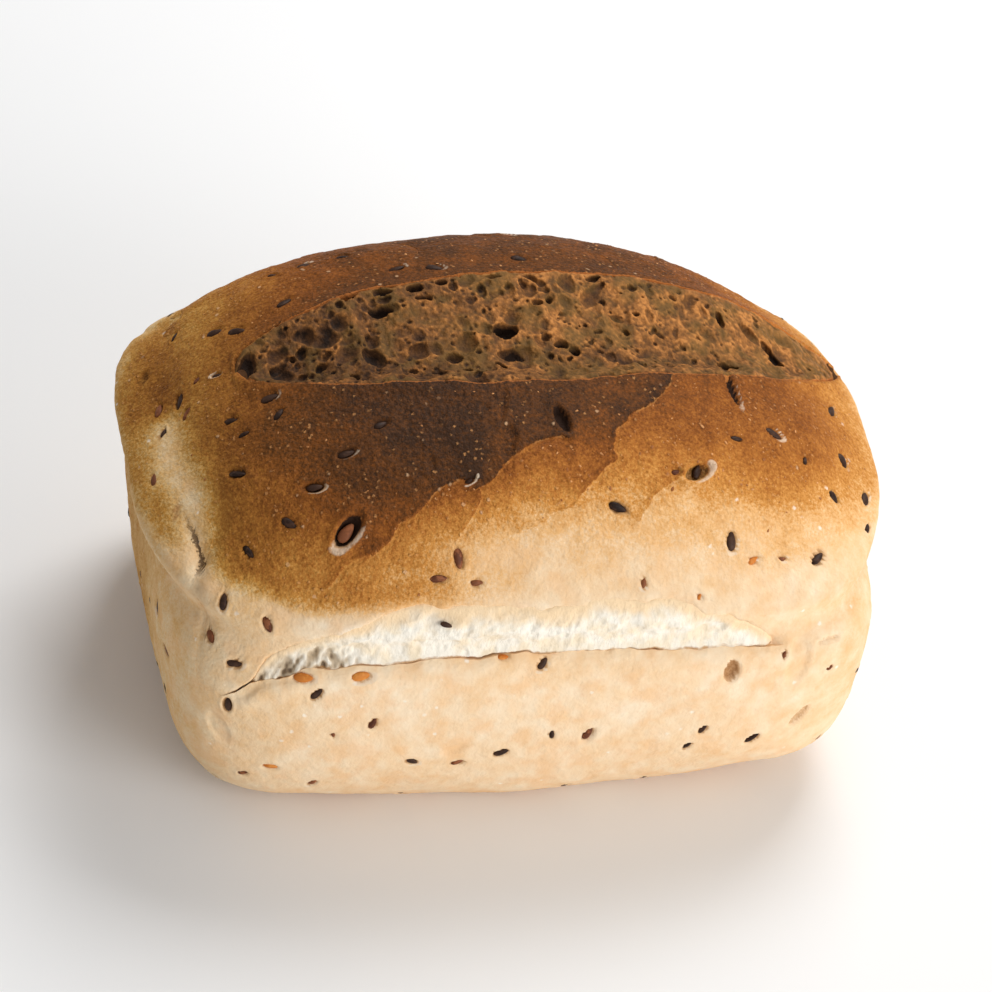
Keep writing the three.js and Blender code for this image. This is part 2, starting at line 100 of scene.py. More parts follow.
def closing(start: float, stop: float, count: int) -> Array:
    """Steps from start to stop that shrink towards the stop, without the first number."""
    share = steps(0.0, 1.0, count)
    return start + (stop - start) * (share + np.sin(share * math.pi / 2)) / 2


class Unevenness:
    """Smooth random values from -1 to 1 over space, blended between the points of a lattice."""

    AXES = tuple(np.uint32(factor) for factor in (374761393, 668265263, 2147483647))
    MIXER = np.uint32(1274126177)
    HALF_RANGE = 2147483648.0

    def __init__(self, seed: int, size: float) -> None:
        """Args:
            seed: which unevenness.
            size: the lattice's spacing in millimetres.
        """
        self.seed = np.uint32(seed)
        self.size = size

    def _corner(self, cell: Array) -> Array:
        """The random value at whole lattice points."""
        i, j, k = (cell[..., axis].astype(np.int64).astype(np.uint32) for axis in range(3))
        bits = i * self.AXES[0] ^ j * self.AXES[1] ^ k * self.AXES[2]
        bits = (bits ^ self.seed ^ (bits >> np.uint32(13))) * self.MIXER
        return (bits ^ (bits >> np.uint32(16))).astype(np.float64) / self.HALF_RANGE - 1.0

    def __call__(self, points: Array, stretch: Sequence[float] = (1.0, 1.0, 1.0)) -> Array:
        """The value at points.

        Args:
            points: places in millimetres, the last axis x, y, z.
            stretch: how much longer the pattern is along each axis.

        Returns:
            One value for each point.
        """
        scaled = points / (self.size * np.asarray(stretch, float))
        cell = np.floor(scaled)
        part = smooth(scaled - cell)
        total = np.zeros(points.shape[:-1])
        for bit in range(8):
            offset = np.array([bit & 1, (bit >> 1) & 1, bit >> 2], float)
            weight = np.prod(np.where(offset > 0, part, 1.0 - part), axis=-1)
            total += weight * self._corner(cell + offset)
        return total


def layered(points: Array, seed: int, size: float, layers: int,
            stretch: Sequence[float] = (1, 1, 1)) -> Array:
    """Unevenness on several scales, each half the size and strength of the one before.

    Args:
        points: places in millimetres.
        seed: which unevenness.
        size: the largest scale.
        layers: how many scales.
        stretch: how much longer the pattern is along each axis.

    Returns:
        One value for each point, from about -1 to 1.
    """
    total = np.zeros(points.shape[:-1])
    for layer in range(layers):
        total += Unevenness(seed + 31 * layer, size / 2**layer)(points, stretch) / 2**layer
    return total / (2 - 2.0 ** (1 - layers))


def along_line(x: Array, y: Array) -> Array:
    """Places on the ground, for unevenness that changes along the loaf alone."""
    return np.stack([x, y, np.zeros_like(x)], axis=-1)


# ---- The form of the loaf ------------------------------------------------------


@dataclass(frozen=True)
class Tin:
    """The part of the loaf that the tin shaped, in millimetres."""

    half_length: float = 95.0
    half_width: float = 69.0
    rim: float = 59.0
    draft: float = 0.05
    rim_power: float = 5.0
    foot_power: float = 5.7
    foot_height: float = 30.0
    foot_share: float = 0.75
    wave: float = 1.3
    wave_pitch: float = 74.0
    wave_crest: float = 2.0
    corner_power: int = 6
    corner_least: float = 0.02


@dataclass(frozen=True)
class Crown:
    """The crown that rose over the rim."""

    height: float = 110.0
    slope: float = 0.015
    shoulder: float = 38.0
    dome: float = 2.05
    end_power: float = 2.3
    side_power: float = 3.4
    over_ends: float = 13.5
    over_sides: float = 4.0
    swell: float = 12.0
    swell_below: float = 2.0
    end_start: float = 6.2
    lean_back: float = 0.15
    lean_left: float = 0.04
    waist_depth: float = 3.6
    waist_end_depth: float = 1.0
    waist_above: float = 5.0
    waist_end_drop: float = 3.0
    waist_spread: float = 6.0
    blend_from: float = 10.0
    blend_over: float = 35.0


@dataclass(frozen=True)
class Slash:
    """The slash along the top, between two curved lips."""

    left: tuple[float, float] = (-72.0, 4.6)
    right: tuple[float, float] = (94.0, 18.6)
    front_bow: float = 29.0
    back_bow: float = 17.5
    front_power: float = 0.62
    back_power: float = 0.36
    back_thins: float = 0.33
    depth: float = 5.0
    deepest: float = 0.3
    floor_rise: float = 0.75
    step: float = 0.6
    lip_height: float = 0.9
    lip_reach: float = 4.0
    lip_step: float = 1.3
    lowest: float = 70.0
    left_ramp: float = 0.1
    right_ramp: float = 0.3
    tips: tuple[float, float] = (0.03, 0.04)
    wall_share: float = 0.7
    front_wander: float = 0.8
    back_wander: float = 1.5

    def lips(self, x: Array) -> tuple[Array, Array, Array]:
        """Share along the slash, and y of its front and back lip, at x."""
        along = (x - self.left[0]) / (self.right[0] - self.left[0])
        chord = mix(self.left[1], self.right[1], along)
        open_ = np.maximum(4 * along * (1 - along), 0.0)
        front = chord - self.front_bow * open_**self.front_power
        back = chord + self.back_bow * open_**self.back_power * (1 - self.back_thins * along)
        line = along_line(x, np.zeros_like(x))
        held = np.minimum(3 * open_, 1.0)
        front = front + self.front_wander * held * layered(line, 151, 7.0, 3)
        back = back + self.back_wander * held * layered(line, 157, 9.0, 3)
        return along, front, back

    def floor(self, along: Array, across: Array) -> Array:
        """How far the crumb lies below the crust, by its place in the slash."""
        fall = np.where(
            across < self.deepest,
            smooth(across / self.deepest),
            1 - smooth((across - self.deepest) / (1 - self.deepest)) * self.floor_rise,
        )
        ends = smooth(along / self.left_ramp) * smooth((1 - along) / self.right_ramp)
        return (self.depth * fall + self.step) * ends


@dataclass(frozen=True)
class Seam:
    """The torn seam between the tin part and the crown."""

    above_rim: float = 2.0
    sag: float = 3.5
    sag_reach: float = 75.0
    rise_left: float = 22.0
    rise_right: float = 5.0
    rise_from: float = 0.6
    rise_over: float = 0.36
    dip: float = 9.0
    dip_at: float = -80.0
    dip_reach: float = 12.0
    front_open: float = 15.0
    front_from: float = -84.0
    front_to: float = 64.0
    back_open: float = 12.0
    back_from: float = -56.0
    back_to: float = 78.0
    taper: float = 16.0
    corner_from: float = 0.15
    corner_to: float = 0.6
    left_share: float = 0.34
    right_share: float = 0.24
    end_height: float = 0.3
    uneven: float = 0.22
    crack_depth: float = 2.2
    crack_above: float = 0.9
    crack_reach: float = 1.3
    band_depth: float = 1.0
    band_rise: float = 1.5
    band_fade: float = 1.8
    band_meets: float = 0.9
    band_ragged: float = 1.5
    ragged: float = 0.9
    ragged_left: float = 1.5
    ragged_at: float = -72.0
    rim_round: float = 0.6
    rim_reach: float = 0.8
    lip: float = 0.6
    lip_below: float = 3.0
    valley_depth: float = 1.0
    valley_above: float = 2.0
    valley_reach: float = 5.0


@dataclass(frozen=True)
class Lump:
    """A soft lump or dip of the dough."""

    at: tuple[float, float, float]
    reach: float
    height: float


LUMPS = tuple(Lump(*row) for row in (
    ((-96, 28, 60), 20, 1.2), ((91, -36, 74), 14, -1.4), ((-84, 44, 79), 16, 1.1),
    ((-91, -32, 25), 18, -1.5), ((96, 8, 78), 18, 2.0), ((97, 20, 40), 22, -0.9),
    ((-25, 48, 104), 16, -0.8), ((58, 52, 90), 20, -1.0), ((-58, -52, 0), 14, -2.0),
    ((62, -54, 2), 14, -2.2), ((80, -62, 45), 18, 0.8), ((-30, -66, 82), 20, 0.8),
    ((20, -66, 30), 26, -0.7), ((10, 70, 40), 26, -0.8),
))


@dataclass(frozen=True)
class EndSplit:
    """A short split in the left end."""

    from_y: float = -45.5
    to_y: float = -23.0
    from_z: float = 75.0
    to_z: float = 82.0
    depth: float = 1.1
    reach: float = 0.6
    wander: float = 1.1
    open_over: float = 0.12
    shut_from: float = 0.8
    shut_over: float = 0.5
    left_of: float = -60.0


@dataclass
class LoafForm:
    """The loaf as one implicit form, below 1 inside, with relief on it."""

    tin: Tin = field(default_factory=Tin)
    crown: Crown = field(default_factory=Crown)
    slash: Slash = field(default_factory=Slash)
    seam: Seam = field(default_factory=Seam)
    split: EndSplit = field(default_factory=EndSplit)
    centre_height: float = 52.0
    edge_sides: float = 95.0
    edge_ends: float = 88.0
    longest_reach: float = 150.0
    halvings: int = 27
    skin_height: float = 0.45
    skin_size: float = 15.0
    flat_below: float = 12.0

    def end_share(self, x: Array, y: Array) -> Array:
        """1 on the two ends, 0 on the long sides, blended round the corners."""
        end = np.abs(x / self.tin.half_length) ** self.tin.corner_power
        side = np.abs(y / self.tin.half_width) ** self.tin.corner_power
        return end / (end + side + self.tin.corner_least)

    def value(self, p: Array) -> Array:
        """The form's value at points, 1 on its surface."""
        tin, crown = self.tin, self.crown
        x, y, z = p[..., 0], p[..., 1], p[..., 2]
        share = self.end_share(x, y)
        start = tin.rim + crown.end_start * share
        swell = smooth((z - start + crown.swell_below) / crown.swell)
        draft = tin.draft * np.minimum(z - tin.rim, 0)
        depth = mix(crown.waist_depth, crown.waist_end_depth, share)
        above_waist = z - start - crown.waist_above + crown.waist_end_drop * share
        pinch = depth * bell(above_waist / crown.waist_spread)
        wave = tin.wave * np.cos(2 * math.pi * (x - tin.wave_crest) / tin.wave_pitch)
        half_length = tin.half_length + draft + crown.over_ends * swell - pinch
        half_width = tin.half_width + draft + crown.over_sides * swell - pinch
        half_width = half_width + wave * np.maximum(1 - z / tin.foot_height, 0)
        above = np.maximum(z - tin.rim, 0)
        along = np.abs(x + crown.lean_left * above) / half_length
        across = np.abs(y - crown.lean_back * above) / half_width
        tin_power = mix(tin.foot_power, tin.rim_power, np.clip(z / tin.rim, 0, 1))
        rise = smooth((z - tin.rim + crown.blend_from) / crown.blend_over)
        end_power = mix(tin_power, crown.end_power, rise)
        side_power = mix(tin_power, crown.side_power, rise)
        top = crown.height - crown.slope * x
        dome = (np.maximum(z - crown.shoulder, 0) / (top - crown.shoulder)) ** crown.dome
        foot = tin.foot_share * (np.maximum(tin.foot_height - z, 0) / tin.foot_height) ** 2
        return along**end_power + across**side_power + dome + foot

    def edge(self, inside: Array, direction: Array) -> Array:
        """Where lines from points inside the loaf leave it.

        Args:
            inside: points inside the form.
            direction: unit vectors, one for each point.

        Returns:
            The points on the form.
        """
        near = np.zeros(inside.shape[:-1])
        far = np.full(inside.shape[:-1], self.longest_reach)
        for _ in range(self.halvings):
            reach = (near + far) / 2
            within = self.value(inside + direction * reach[..., None]) < 1
            near = np.where(within, reach, near)
            far = np.where(within, far, reach)
        return inside + direction * near[..., None]

    def _leave(self, inside: Array, axis: int, sign: float = 1.0) -> Array:
        """Where lines along one axis from points inside the loaf leave it."""
        direction = np.zeros(inside.shape)
        direction[..., axis] = sign
        return self.edge(inside, direction)

    def normal(self, p: Array, step: float = 0.5) -> Array:
        """The outward normals at points."""
        slopes = []
        for axis in range(3):
            offset = np.zeros(3)
            offset[axis] = step
            slopes.append(self.value(p + offset) - self.value(p - offset))
        return unit(np.stack(slopes, axis=-1))

    def wall(self, s: Array, t: Array, z: Array) -> Array:
        """The wall at heights, in the direction of points of the unit square's edge."""
        flat = np.stack([s * self.tin.half_length, t * self.tin.half_width, np.zeros_like(s * z)], axis=-1)
        inside = np.zeros(flat.shape)
        inside[..., 2] = z
        return self.edge(inside, unit(flat))

    def top_edge(self, s: Array, t: Array) -> Array:
        """Where the walls give way to the top."""
        share = smooth(self.end_share(s * self.tin.half_length, t * self.tin.half_width))
        return self.wall(s, t, mix(self.edge_sides, self.edge_ends, share))

    def top(self, s: Array, t: Array) -> Array:
        """Points of the top, by their places in the unit square."""
        size = np.maximum(np.maximum(np.abs(s), np.abs(t)), 1e-9)
        edge = self.top_edge(s / size, t / size)
        below = edge * size[..., None]
        below[..., 2] = self.centre_height
        on_edge = (size > 0.9999)[..., None]
        return np.where(on_edge, edge, self._leave(below, 2))

    def over(self, x: Array, y: Array) -> Array:
        """Height of the top over places x, y."""
        below = np.stack([x, y, np.full(np.shape(x), self.centre_height)], axis=-1)
        return self._leave(below, 2)[..., 2]

    def side(self, x: Array, z: Array, sign: float) -> Array:
        """Points of the front (sign -1) or back (sign 1) wall at x and z."""
        inside = np.stack([x, np.zeros(np.shape(x)), z], axis=-1)
        return self._leave(inside, 1, sign)

    # -- Relief, in millimetres along the normal

    def slash_relief(self, p: Array, hidden: float) -> Array:
        """Raised lips, and the recess between them that the crumb lies in.

        Args:
            p: points of the form.
            hidden: how much deeper than the crumb's surface the recess is.

        Returns:
            The relief.
        """
        cut = self.slash
        x, y, z = p[..., 0], p[..., 1], p[..., 2]
        along, front, back = cut.lips(x)
        outside = np.maximum(front - y, y - back)
        across = np.clip((y - front) / np.maximum(back - front, 1e-6), 0, 1)
        lip = cut.lip_height * bell(np.maximum(outside, 0) / cut.lip_reach)
        ends = smooth(along / cut.tips[0]) * smooth((1 - along) / cut.tips[1])
        wall = smooth(-outside / (cut.wall_share * cut.lip_step))
        inner = lip * (1 - wall) - wall * (cut.floor(along, across) + hidden * ends)
        relief = np.where(outside >= 0, lip, inner)
        clear = (z < cut.lowest) | (along <= 0) | (along >= 1)
        return np.where(clear, 0.0, relief)

    def seam_height(self, x: Array, y: Array) -> Array:
        """Height of the crack, the lower edge of the torn band."""
        seam = self.seam
        across = smooth((self.end_share(x, y) - seam.rise_from) / seam.rise_over)
        rise = np.where(x < 0, seam.rise_left, seam.rise_right) * across
        sag = seam.sag * (x / seam.sag_reach) ** 2
        dip = np.where(y < 0, seam.dip * bell((x - seam.dip_at) / seam.dip_reach), 0.0)
        rough = seam.ragged + seam.ragged_left * bell((x - seam.ragged_at) / seam.dip_reach) * (y < 0)
        ragged = rough * layered(along_line(x, np.sign(y) * 30.0), 43, 6.0, 4) * (1 - across)
        return self.tin.rim + seam.above_rim + rise + ragged - (sag + dip) * (1 - across)

    def _torn_span(self, y: Array) -> tuple[Array, Array]:
        """Where the tear starts and stops along the loaf, on each point's own side."""
        seam = self.seam
        return np.where(y < 0, seam.front_from, seam.back_from), np.where(y < 0, seam.front_to, seam.back_to)

    def seam_torn(self, x: Array, y: Array) -> Array:
        """How far the seam tore open: 0 is shut, 1 is its full height."""
        seam = self.seam
        start, stop = self._torn_span(y)
        along = smooth((x - start) / seam.taper) * smooth((stop - x) / seam.taper)
        round_ = (self.end_share(x, y) - seam.corner_from) / (seam.corner_to - seam.corner_from)
        return along * (1 - smooth(round_))

    def seam_opening(self, x: Array, y: Array) -> Array:
        """Height of the torn band at a place, narrower and ragged towards its ends."""
        seam = self.seam
        start, stop = self._torn_span(y)
        share = (x - start) / (stop - start)
        full = smooth(share / seam.left_share) * smooth((1 - share) / seam.right_share)
        uneven = 1 + seam.uneven * layered(along_line(x, np.sign(y) * 40.0), 67, 13.0, 3)
        high = np.where(y < 0, seam.front_open, seam.back_open)
        return self.seam_torn(x, y) ** 0.5 * mix(seam.end_height, 1.0, full) * high * uneven

    def band_depth(self, x: Array, y: Array, up: Array) -> Array:
        """Depth of the torn band, which meets the crust at its upper edge."""
        share = np.clip(up / np.maximum(self.seam_opening(x, y), 1e-6), 0, 1)
        return self.seam.band_depth * (1 - self.seam.band_meets * share**1.5)

    def seam_relief(self, p: Array, hidden: float, side: int = 0) -> Array:
        """The tin part's proud lip, and the recess that the torn crumb lies in.

        Args:
            p: points of the form.
            hidden: how much deeper than the crumb's surface the recess is.
            side: 1 for points that are all above the crack, -1 for points below it, or 0.

        Returns:
            The relief.
        """
        seam = self.seam
        x, y, z = p[..., 0], p[..., 1], p[..., 2]
        up = z - self.seam_height(x, y)
        up = np.maximum(up, 0.02) if side > 0 else np.minimum(up, 0.0) if side < 0 else up
        torn = smooth(2 * self.seam_torn(x, y))
        crack = (seam.crack_depth + hidden) * bell((up - seam.crack_above) / seam.crack_reach)
        crack = np.where(up < 0.01, seam.rim_round * bell(up / seam.rim_reach), crack)
        top = self.seam_opening(x, y) + seam.band_ragged * layered(p, 71, 7.0, 3)
        band = smooth(up / seam.band_rise) * smooth((top - up) / seam.band_fade)
        lip = seam.lip * bell((up + seam.lip_below) / seam.lip_below)
        open_ = lip - np.maximum(crack, band * (self.band_depth(x, y, up) + hidden))
        on_left = np.where(x < 0, smooth(2 * self.end_share(x, y) - 1), 0.0)
        valley = -seam.valley_depth * on_left * bell((up - seam.valley_above) / seam.valley_reach)
        return mix(valley, open_, torn)

    def split_side(self, p: Array) -> tuple[Array, Array]:
        """Distance across the short split in the left end, and how open it is there."""
        split = self.split
        x, y, z = p[..., 0], p[..., 1], p[..., 2]
        along = (y - split.from_y) / (split.to_y - split.from_y)
        held = np.clip(along, 0, 1)
        rise = (split.to_z - split.from_z) / (2 * np.sqrt(held + 0.06) * (split.to_y - split.from_y))
        height = mix(split.from_z, split.to_z, np.sqrt(held)) + split.wander * layered(p, 83, 4.0, 3)
        open_ = smooth(along / split.open_over + 0.5) * smooth((split.shut_from - along) / split.shut_over)
        open_ = open_ * (x < split.left_of)
        return (z - height) / np.hypot(1.0, rise), open_

    def split_depth(self, p: Array) -> Array:
        """Depth of the split."""
        away, open_ = self.split_side(p)
        return self.split.depth * bell(away / self.split.reach) * open_

    def dough_relief(self, p: Array) -> Array:
        """Lumps and skin of the dough."""
        relief = self.skin_height * Unevenness(5, self.skin_size)(p) * smooth(p[..., 2] / self.flat_below)
        for lump in LUMPS:
            away = np.linalg.norm(p - np.array(lump.at, float), axis=-1)
            relief = relief + lump.height * bell(away / lump.reach)
        return relief


# ---- The camera ----------------------------------------------------------------


@dataclass(frozen=True)
class PhotoCamera:
    """The photograph's camera round the loaf, in degrees and metres."""

    azimuth: float = 16.429
    elevation: float = 40.568
    roll: float = 8.511
    distance: float = 0.869799
    target: tuple[float, float, float] = (0.000182, 0.0, 0.054989)
    focal: float = 3289.247
    sensor: float = 36.0

    @property
    def axes(self) -> tuple[Vector, Vector, Vector]:
        """The camera's right, up and back directions."""
        az, el, roll = (math.radians(v) for v in (self.azimuth, self.elevation, self.roll))
        back = Vector((-math.sin(az) * math.cos(el), -math.cos(az) * math.cos(el), math.sin(el)))
        right = Vector((math.cos(az), -math.sin(az), 0.0))
        up = back.cross(right)
        return (
            right * math.cos(roll) + up * math.sin(roll),
            up * math.cos(roll) - right * math.sin(roll),
            back,
        )

    @property
    def place(self) -> Vector:
        """Where the camera stands."""
        return Vector(self.target) + self.axes[2] * self.distance

    def ray(self, px: float, py: float) -> Vector:
        """The direction in which the camera sees a pixel of the photograph."""
        right, up, back = self.axes
        across = (px - PHOTO_SIDE / 2) / self.focal
        above = (PHOTO_SIDE / 2 - py) / self.focal
        return (right * across + up * above - back).normalized()

    def build(self) -> None:
        """Makes the camera and gives it to the scene."""
        data = bpy.data.cameras.new("photo_camera")
        data.sensor_width = self.sensor
        data.lens = self.focal / PHOTO_SIDE * self.sensor
        data.clip_start, data.clip_end = 0.01, 20.0
        camera = bpy.data.objects.new("photo_camera", data)
        bpy.context.scene.collection.objects.link(camera)
        right, up, back = self.axes
        turn = Matrix((right, up, back)).transposed().to_4x4()
        camera.matrix_world = Matrix.Translation(self.place) @ turn
        bpy.context.scene.camera = camera


# ---- Shader language -----------------------------------------------------------

Colour = tuple[float, float, float]


def tint(red: int, green: int, blue: int) -> Colour:
    """A display colour from 0 to 255 as linear light."""

    def linear(value: int) -> float:
        """One channel as linear light."""
        share = value / 255
        return share / 12.92 if share <= 0.04045 else ((share + 0.055) / 1.055) ** 2.4

    return linear(red), linear(green), linear(blue)


class Sock:
    """A shader socket that can be used in sums."""

    def __init__(self, shader: "Shader", socket: bpy.types.NodeSocket) -> None:
        """Keeps the shader that makes nodes, and the socket."""
        self.shader = shader
        self.socket = socket

    def _with(self, operation: str, a: "Sock | float", b: "Sock | float") -> "Sock":
        """A Math node on two values."""
        node = self.shader.node("ShaderNodeMath", {"operation": operation}, {0: a, 1: b})
        return Sock(self.shader, node.outputs[0])

    def __add__(self, other: "Sock | float") -> "Sock":
        """Sum."""
        return self._with("ADD", self, other)

    __radd__ = __add__

    def __sub__(self, other: "Sock | float") -> "Sock":
        """Difference."""
        return self._with("SUBTRACT", self, other)

    def __rsub__(self, other: float) -> "Sock":
        """Difference from a number."""
        return self._with("SUBTRACT", other, self)

    def __mul__(self, other: "Sock | float") -> "Sock":
        """Product."""
        return self._with("MULTIPLY", self, other)

    __rmul__ = __mul__


class Shader:
    """One procedural material, made node by node."""

    def __init__(self, name: str) -> None:
        """Starts an empty material."""
        self.material = bpy.data.materials.new(name)
        self.material.use_nodes = True
        self.tree = self.material.node_tree
        self.tree.nodes.clear()
        place = self.node("ShaderNodeTexCoord")
        self.place = Sock(self, place.outputs["Object"])

    def node(self, kind: str, settings: dict | None = None, sockets: dict | None = None) -> bpy.types.Node:
        """Makes a node.

        Args:
            kind: the node's type.
            settings: its own settings; "stops" sets a ramp's stops.
            sockets: values or links of its inputs, by name or index.

        Returns:
            The node.
        """
        node = self.tree.nodes.new(kind)
        for key, value in (settings or {}).items():
            if key == "stops":
                self._stops(node.color_ramp, value)
            else:
                setattr(node, key, value)
        for key, value in (sockets or {}).items():
            socket = node.inputs[key]
            if isinstance(value, Sock):
                self.tree.links.new(value.socket, socket)
            elif isinstance(value, tuple) and len(value) == 3 and socket.type == "RGBA":
                socket.default_value = (*value, 1.0)
            else:
                socket.default_value = value
        return node

    @staticmethod
    def _stops(ramp: bpy.types.ColorRamp, stops: Sequence[tuple[float, Colour]]) -> None:
        """Sets a ramp's stops."""
        while len(ramp.elements) > 1:
            ramp.elements.remove(ramp.elements[-1])
        ramp.elements[0].position = stops[0][0]
        ramp.elements[0].color = (*stops[0][1], 1.0)
        for position, colour in stops[1:]:
            element = ramp.elements.new(position)
            element.color = (*colour, 1.0)

    def ramp(self, value: Sock, stops: Sequence[tuple[float, Colour]]) -> Sock:
        """A colour for a value."""
        node = self.node("ShaderNodeValToRGB", {"stops": stops}, {"Fac": value})
        return Sock(self, node.outputs["Color"])

    def noise(self, size: float, detail: float = 2.0, stretch: Sequence[float] = (1, 1, 1)) -> Sock:
        """Noise from 0 to 1.

        Args:
            size: its scale in millimetres.
            detail: how many finer layers it has.
            stretch: how much longer the pattern is along each axis.

        Returns:
            The noise.
        """
        scale = tuple(1.0 / (s * size * MM) for s in stretch)
        at = self.node("ShaderNodeMapping", {}, {"Vector": self.place, "Scale": scale})
        sockets = {"Vector": Sock(self, at.outputs[0]), "Scale": 1.0, "Detail": detail}
        node = self.node("ShaderNodeTexNoise", {"noise_dimensions": "3D"}, sockets)
        return Sock(self, node.outputs["Fac"])

    def spots(self, spacing: float) -> Sock:
        """Distance to the nearest of scattered points, in spacings."""
        sockets = {"Vector": self.place, "Scale": 1.0 / (spacing * MM), "Randomness": 1.0}
        node = self.node("ShaderNodeTexVoronoi", {"feature": "F1"}, sockets)
        return Sock(self, node.outputs["Distance"])

    def attribute(self, name: str) -> Sock:
        """A value kept on the mesh."""
        node = self.node("ShaderNodeAttribute", {"attribute_name": name})
        return Sock(self, node.outputs["Fac"])

    def between(self, value: Sock, low: float, high: float,
                to_low: float = 0.0, to_high: float = 1.0) -> Sock:
        """A value's part of a range, smooth and held at both ends."""
        sockets = {"Value": value, 1: low, 2: high, 3: to_low, 4: to_high}
        node = self.node("ShaderNodeMapRange", {"interpolation_type": "SMOOTHSTEP"}, sockets)
        return Sock(self, node.outputs[0])

    def line(self, value: Sock, low: float, full: float, fading: float, high: float) -> Sock:
        """1 where a value lies from full to fading, and 0 below low and above high."""
        return self.between(value, low, full) * (1 - self.between(value, fading, high))

    def specks(self, spacing: float, unevenness: Sock, full: float, end: float) -> Sock:
        """1 in ragged specks round scattered points, and 0 between them."""
        return 1 - self.between(self.spots(spacing) + unevenness, full, end)

    def patches(self, size: float, detail: float, low: float, high: float) -> Sock:
        """1 in soft patches of noise, and 0 between them."""
        return self.between(self.noise(size, detail), low, high)

    def blend(self, share: Sock | float, a: Sock | Colour, b: Sock | Colour, how: str = "MIX") -> Sock:
        """Two colours mixed by a share."""
        settings = {"data_type": "RGBA", "blend_type": how}
        node = self.node("ShaderNodeMix", settings, {0: share, 6: a, 7: b})
        return Sock(self, node.outputs[2])

    def bump(self, height: Sock, distance: float, strength: float = 1.0, under: Sock | None = None) -> Sock:
        """A bumped normal.

        Args:
            height: the relief from 0 to 1.
            distance: the relief's depth in millimetres.
            strength: how much of it shows.
            under: a normal to start from.

        Returns:
            The normal.
        """
        sockets = {"Height": height, "Distance": distance * MM, "Strength": strength}
        if under is not None:
            sockets["Normal"] = under
        node = self.node("ShaderNodeBump", {}, sockets)
        return Sock(self, node.outputs[0])

    def finish(self, colour: Sock | Colour, roughness: Sock | float, normal: Sock,
               **constants: float) -> bpy.types.Material:
        """Ends the material in one shader.

        Args:
            colour: base colour.
            roughness: roughness.
            normal: bumped normal.
            constants: the shader's other sockets, by name with _ for a space.

        Returns:
            The material.
        """
        sockets = {"Base Color": colour, "Roughness": roughness, "Normal": normal}
        sockets.update({key.replace("_", " "): value for key, value in constants.items()})
        shader = self.node("ShaderNodeBsdfPrincipled", {}, sockets)
        self.node("ShaderNodeOutputMaterial", {}, {"Surface": Sock(self, shader.outputs[0])})
        return self.material


# ---- Finishes ------------------------------------------------------------------


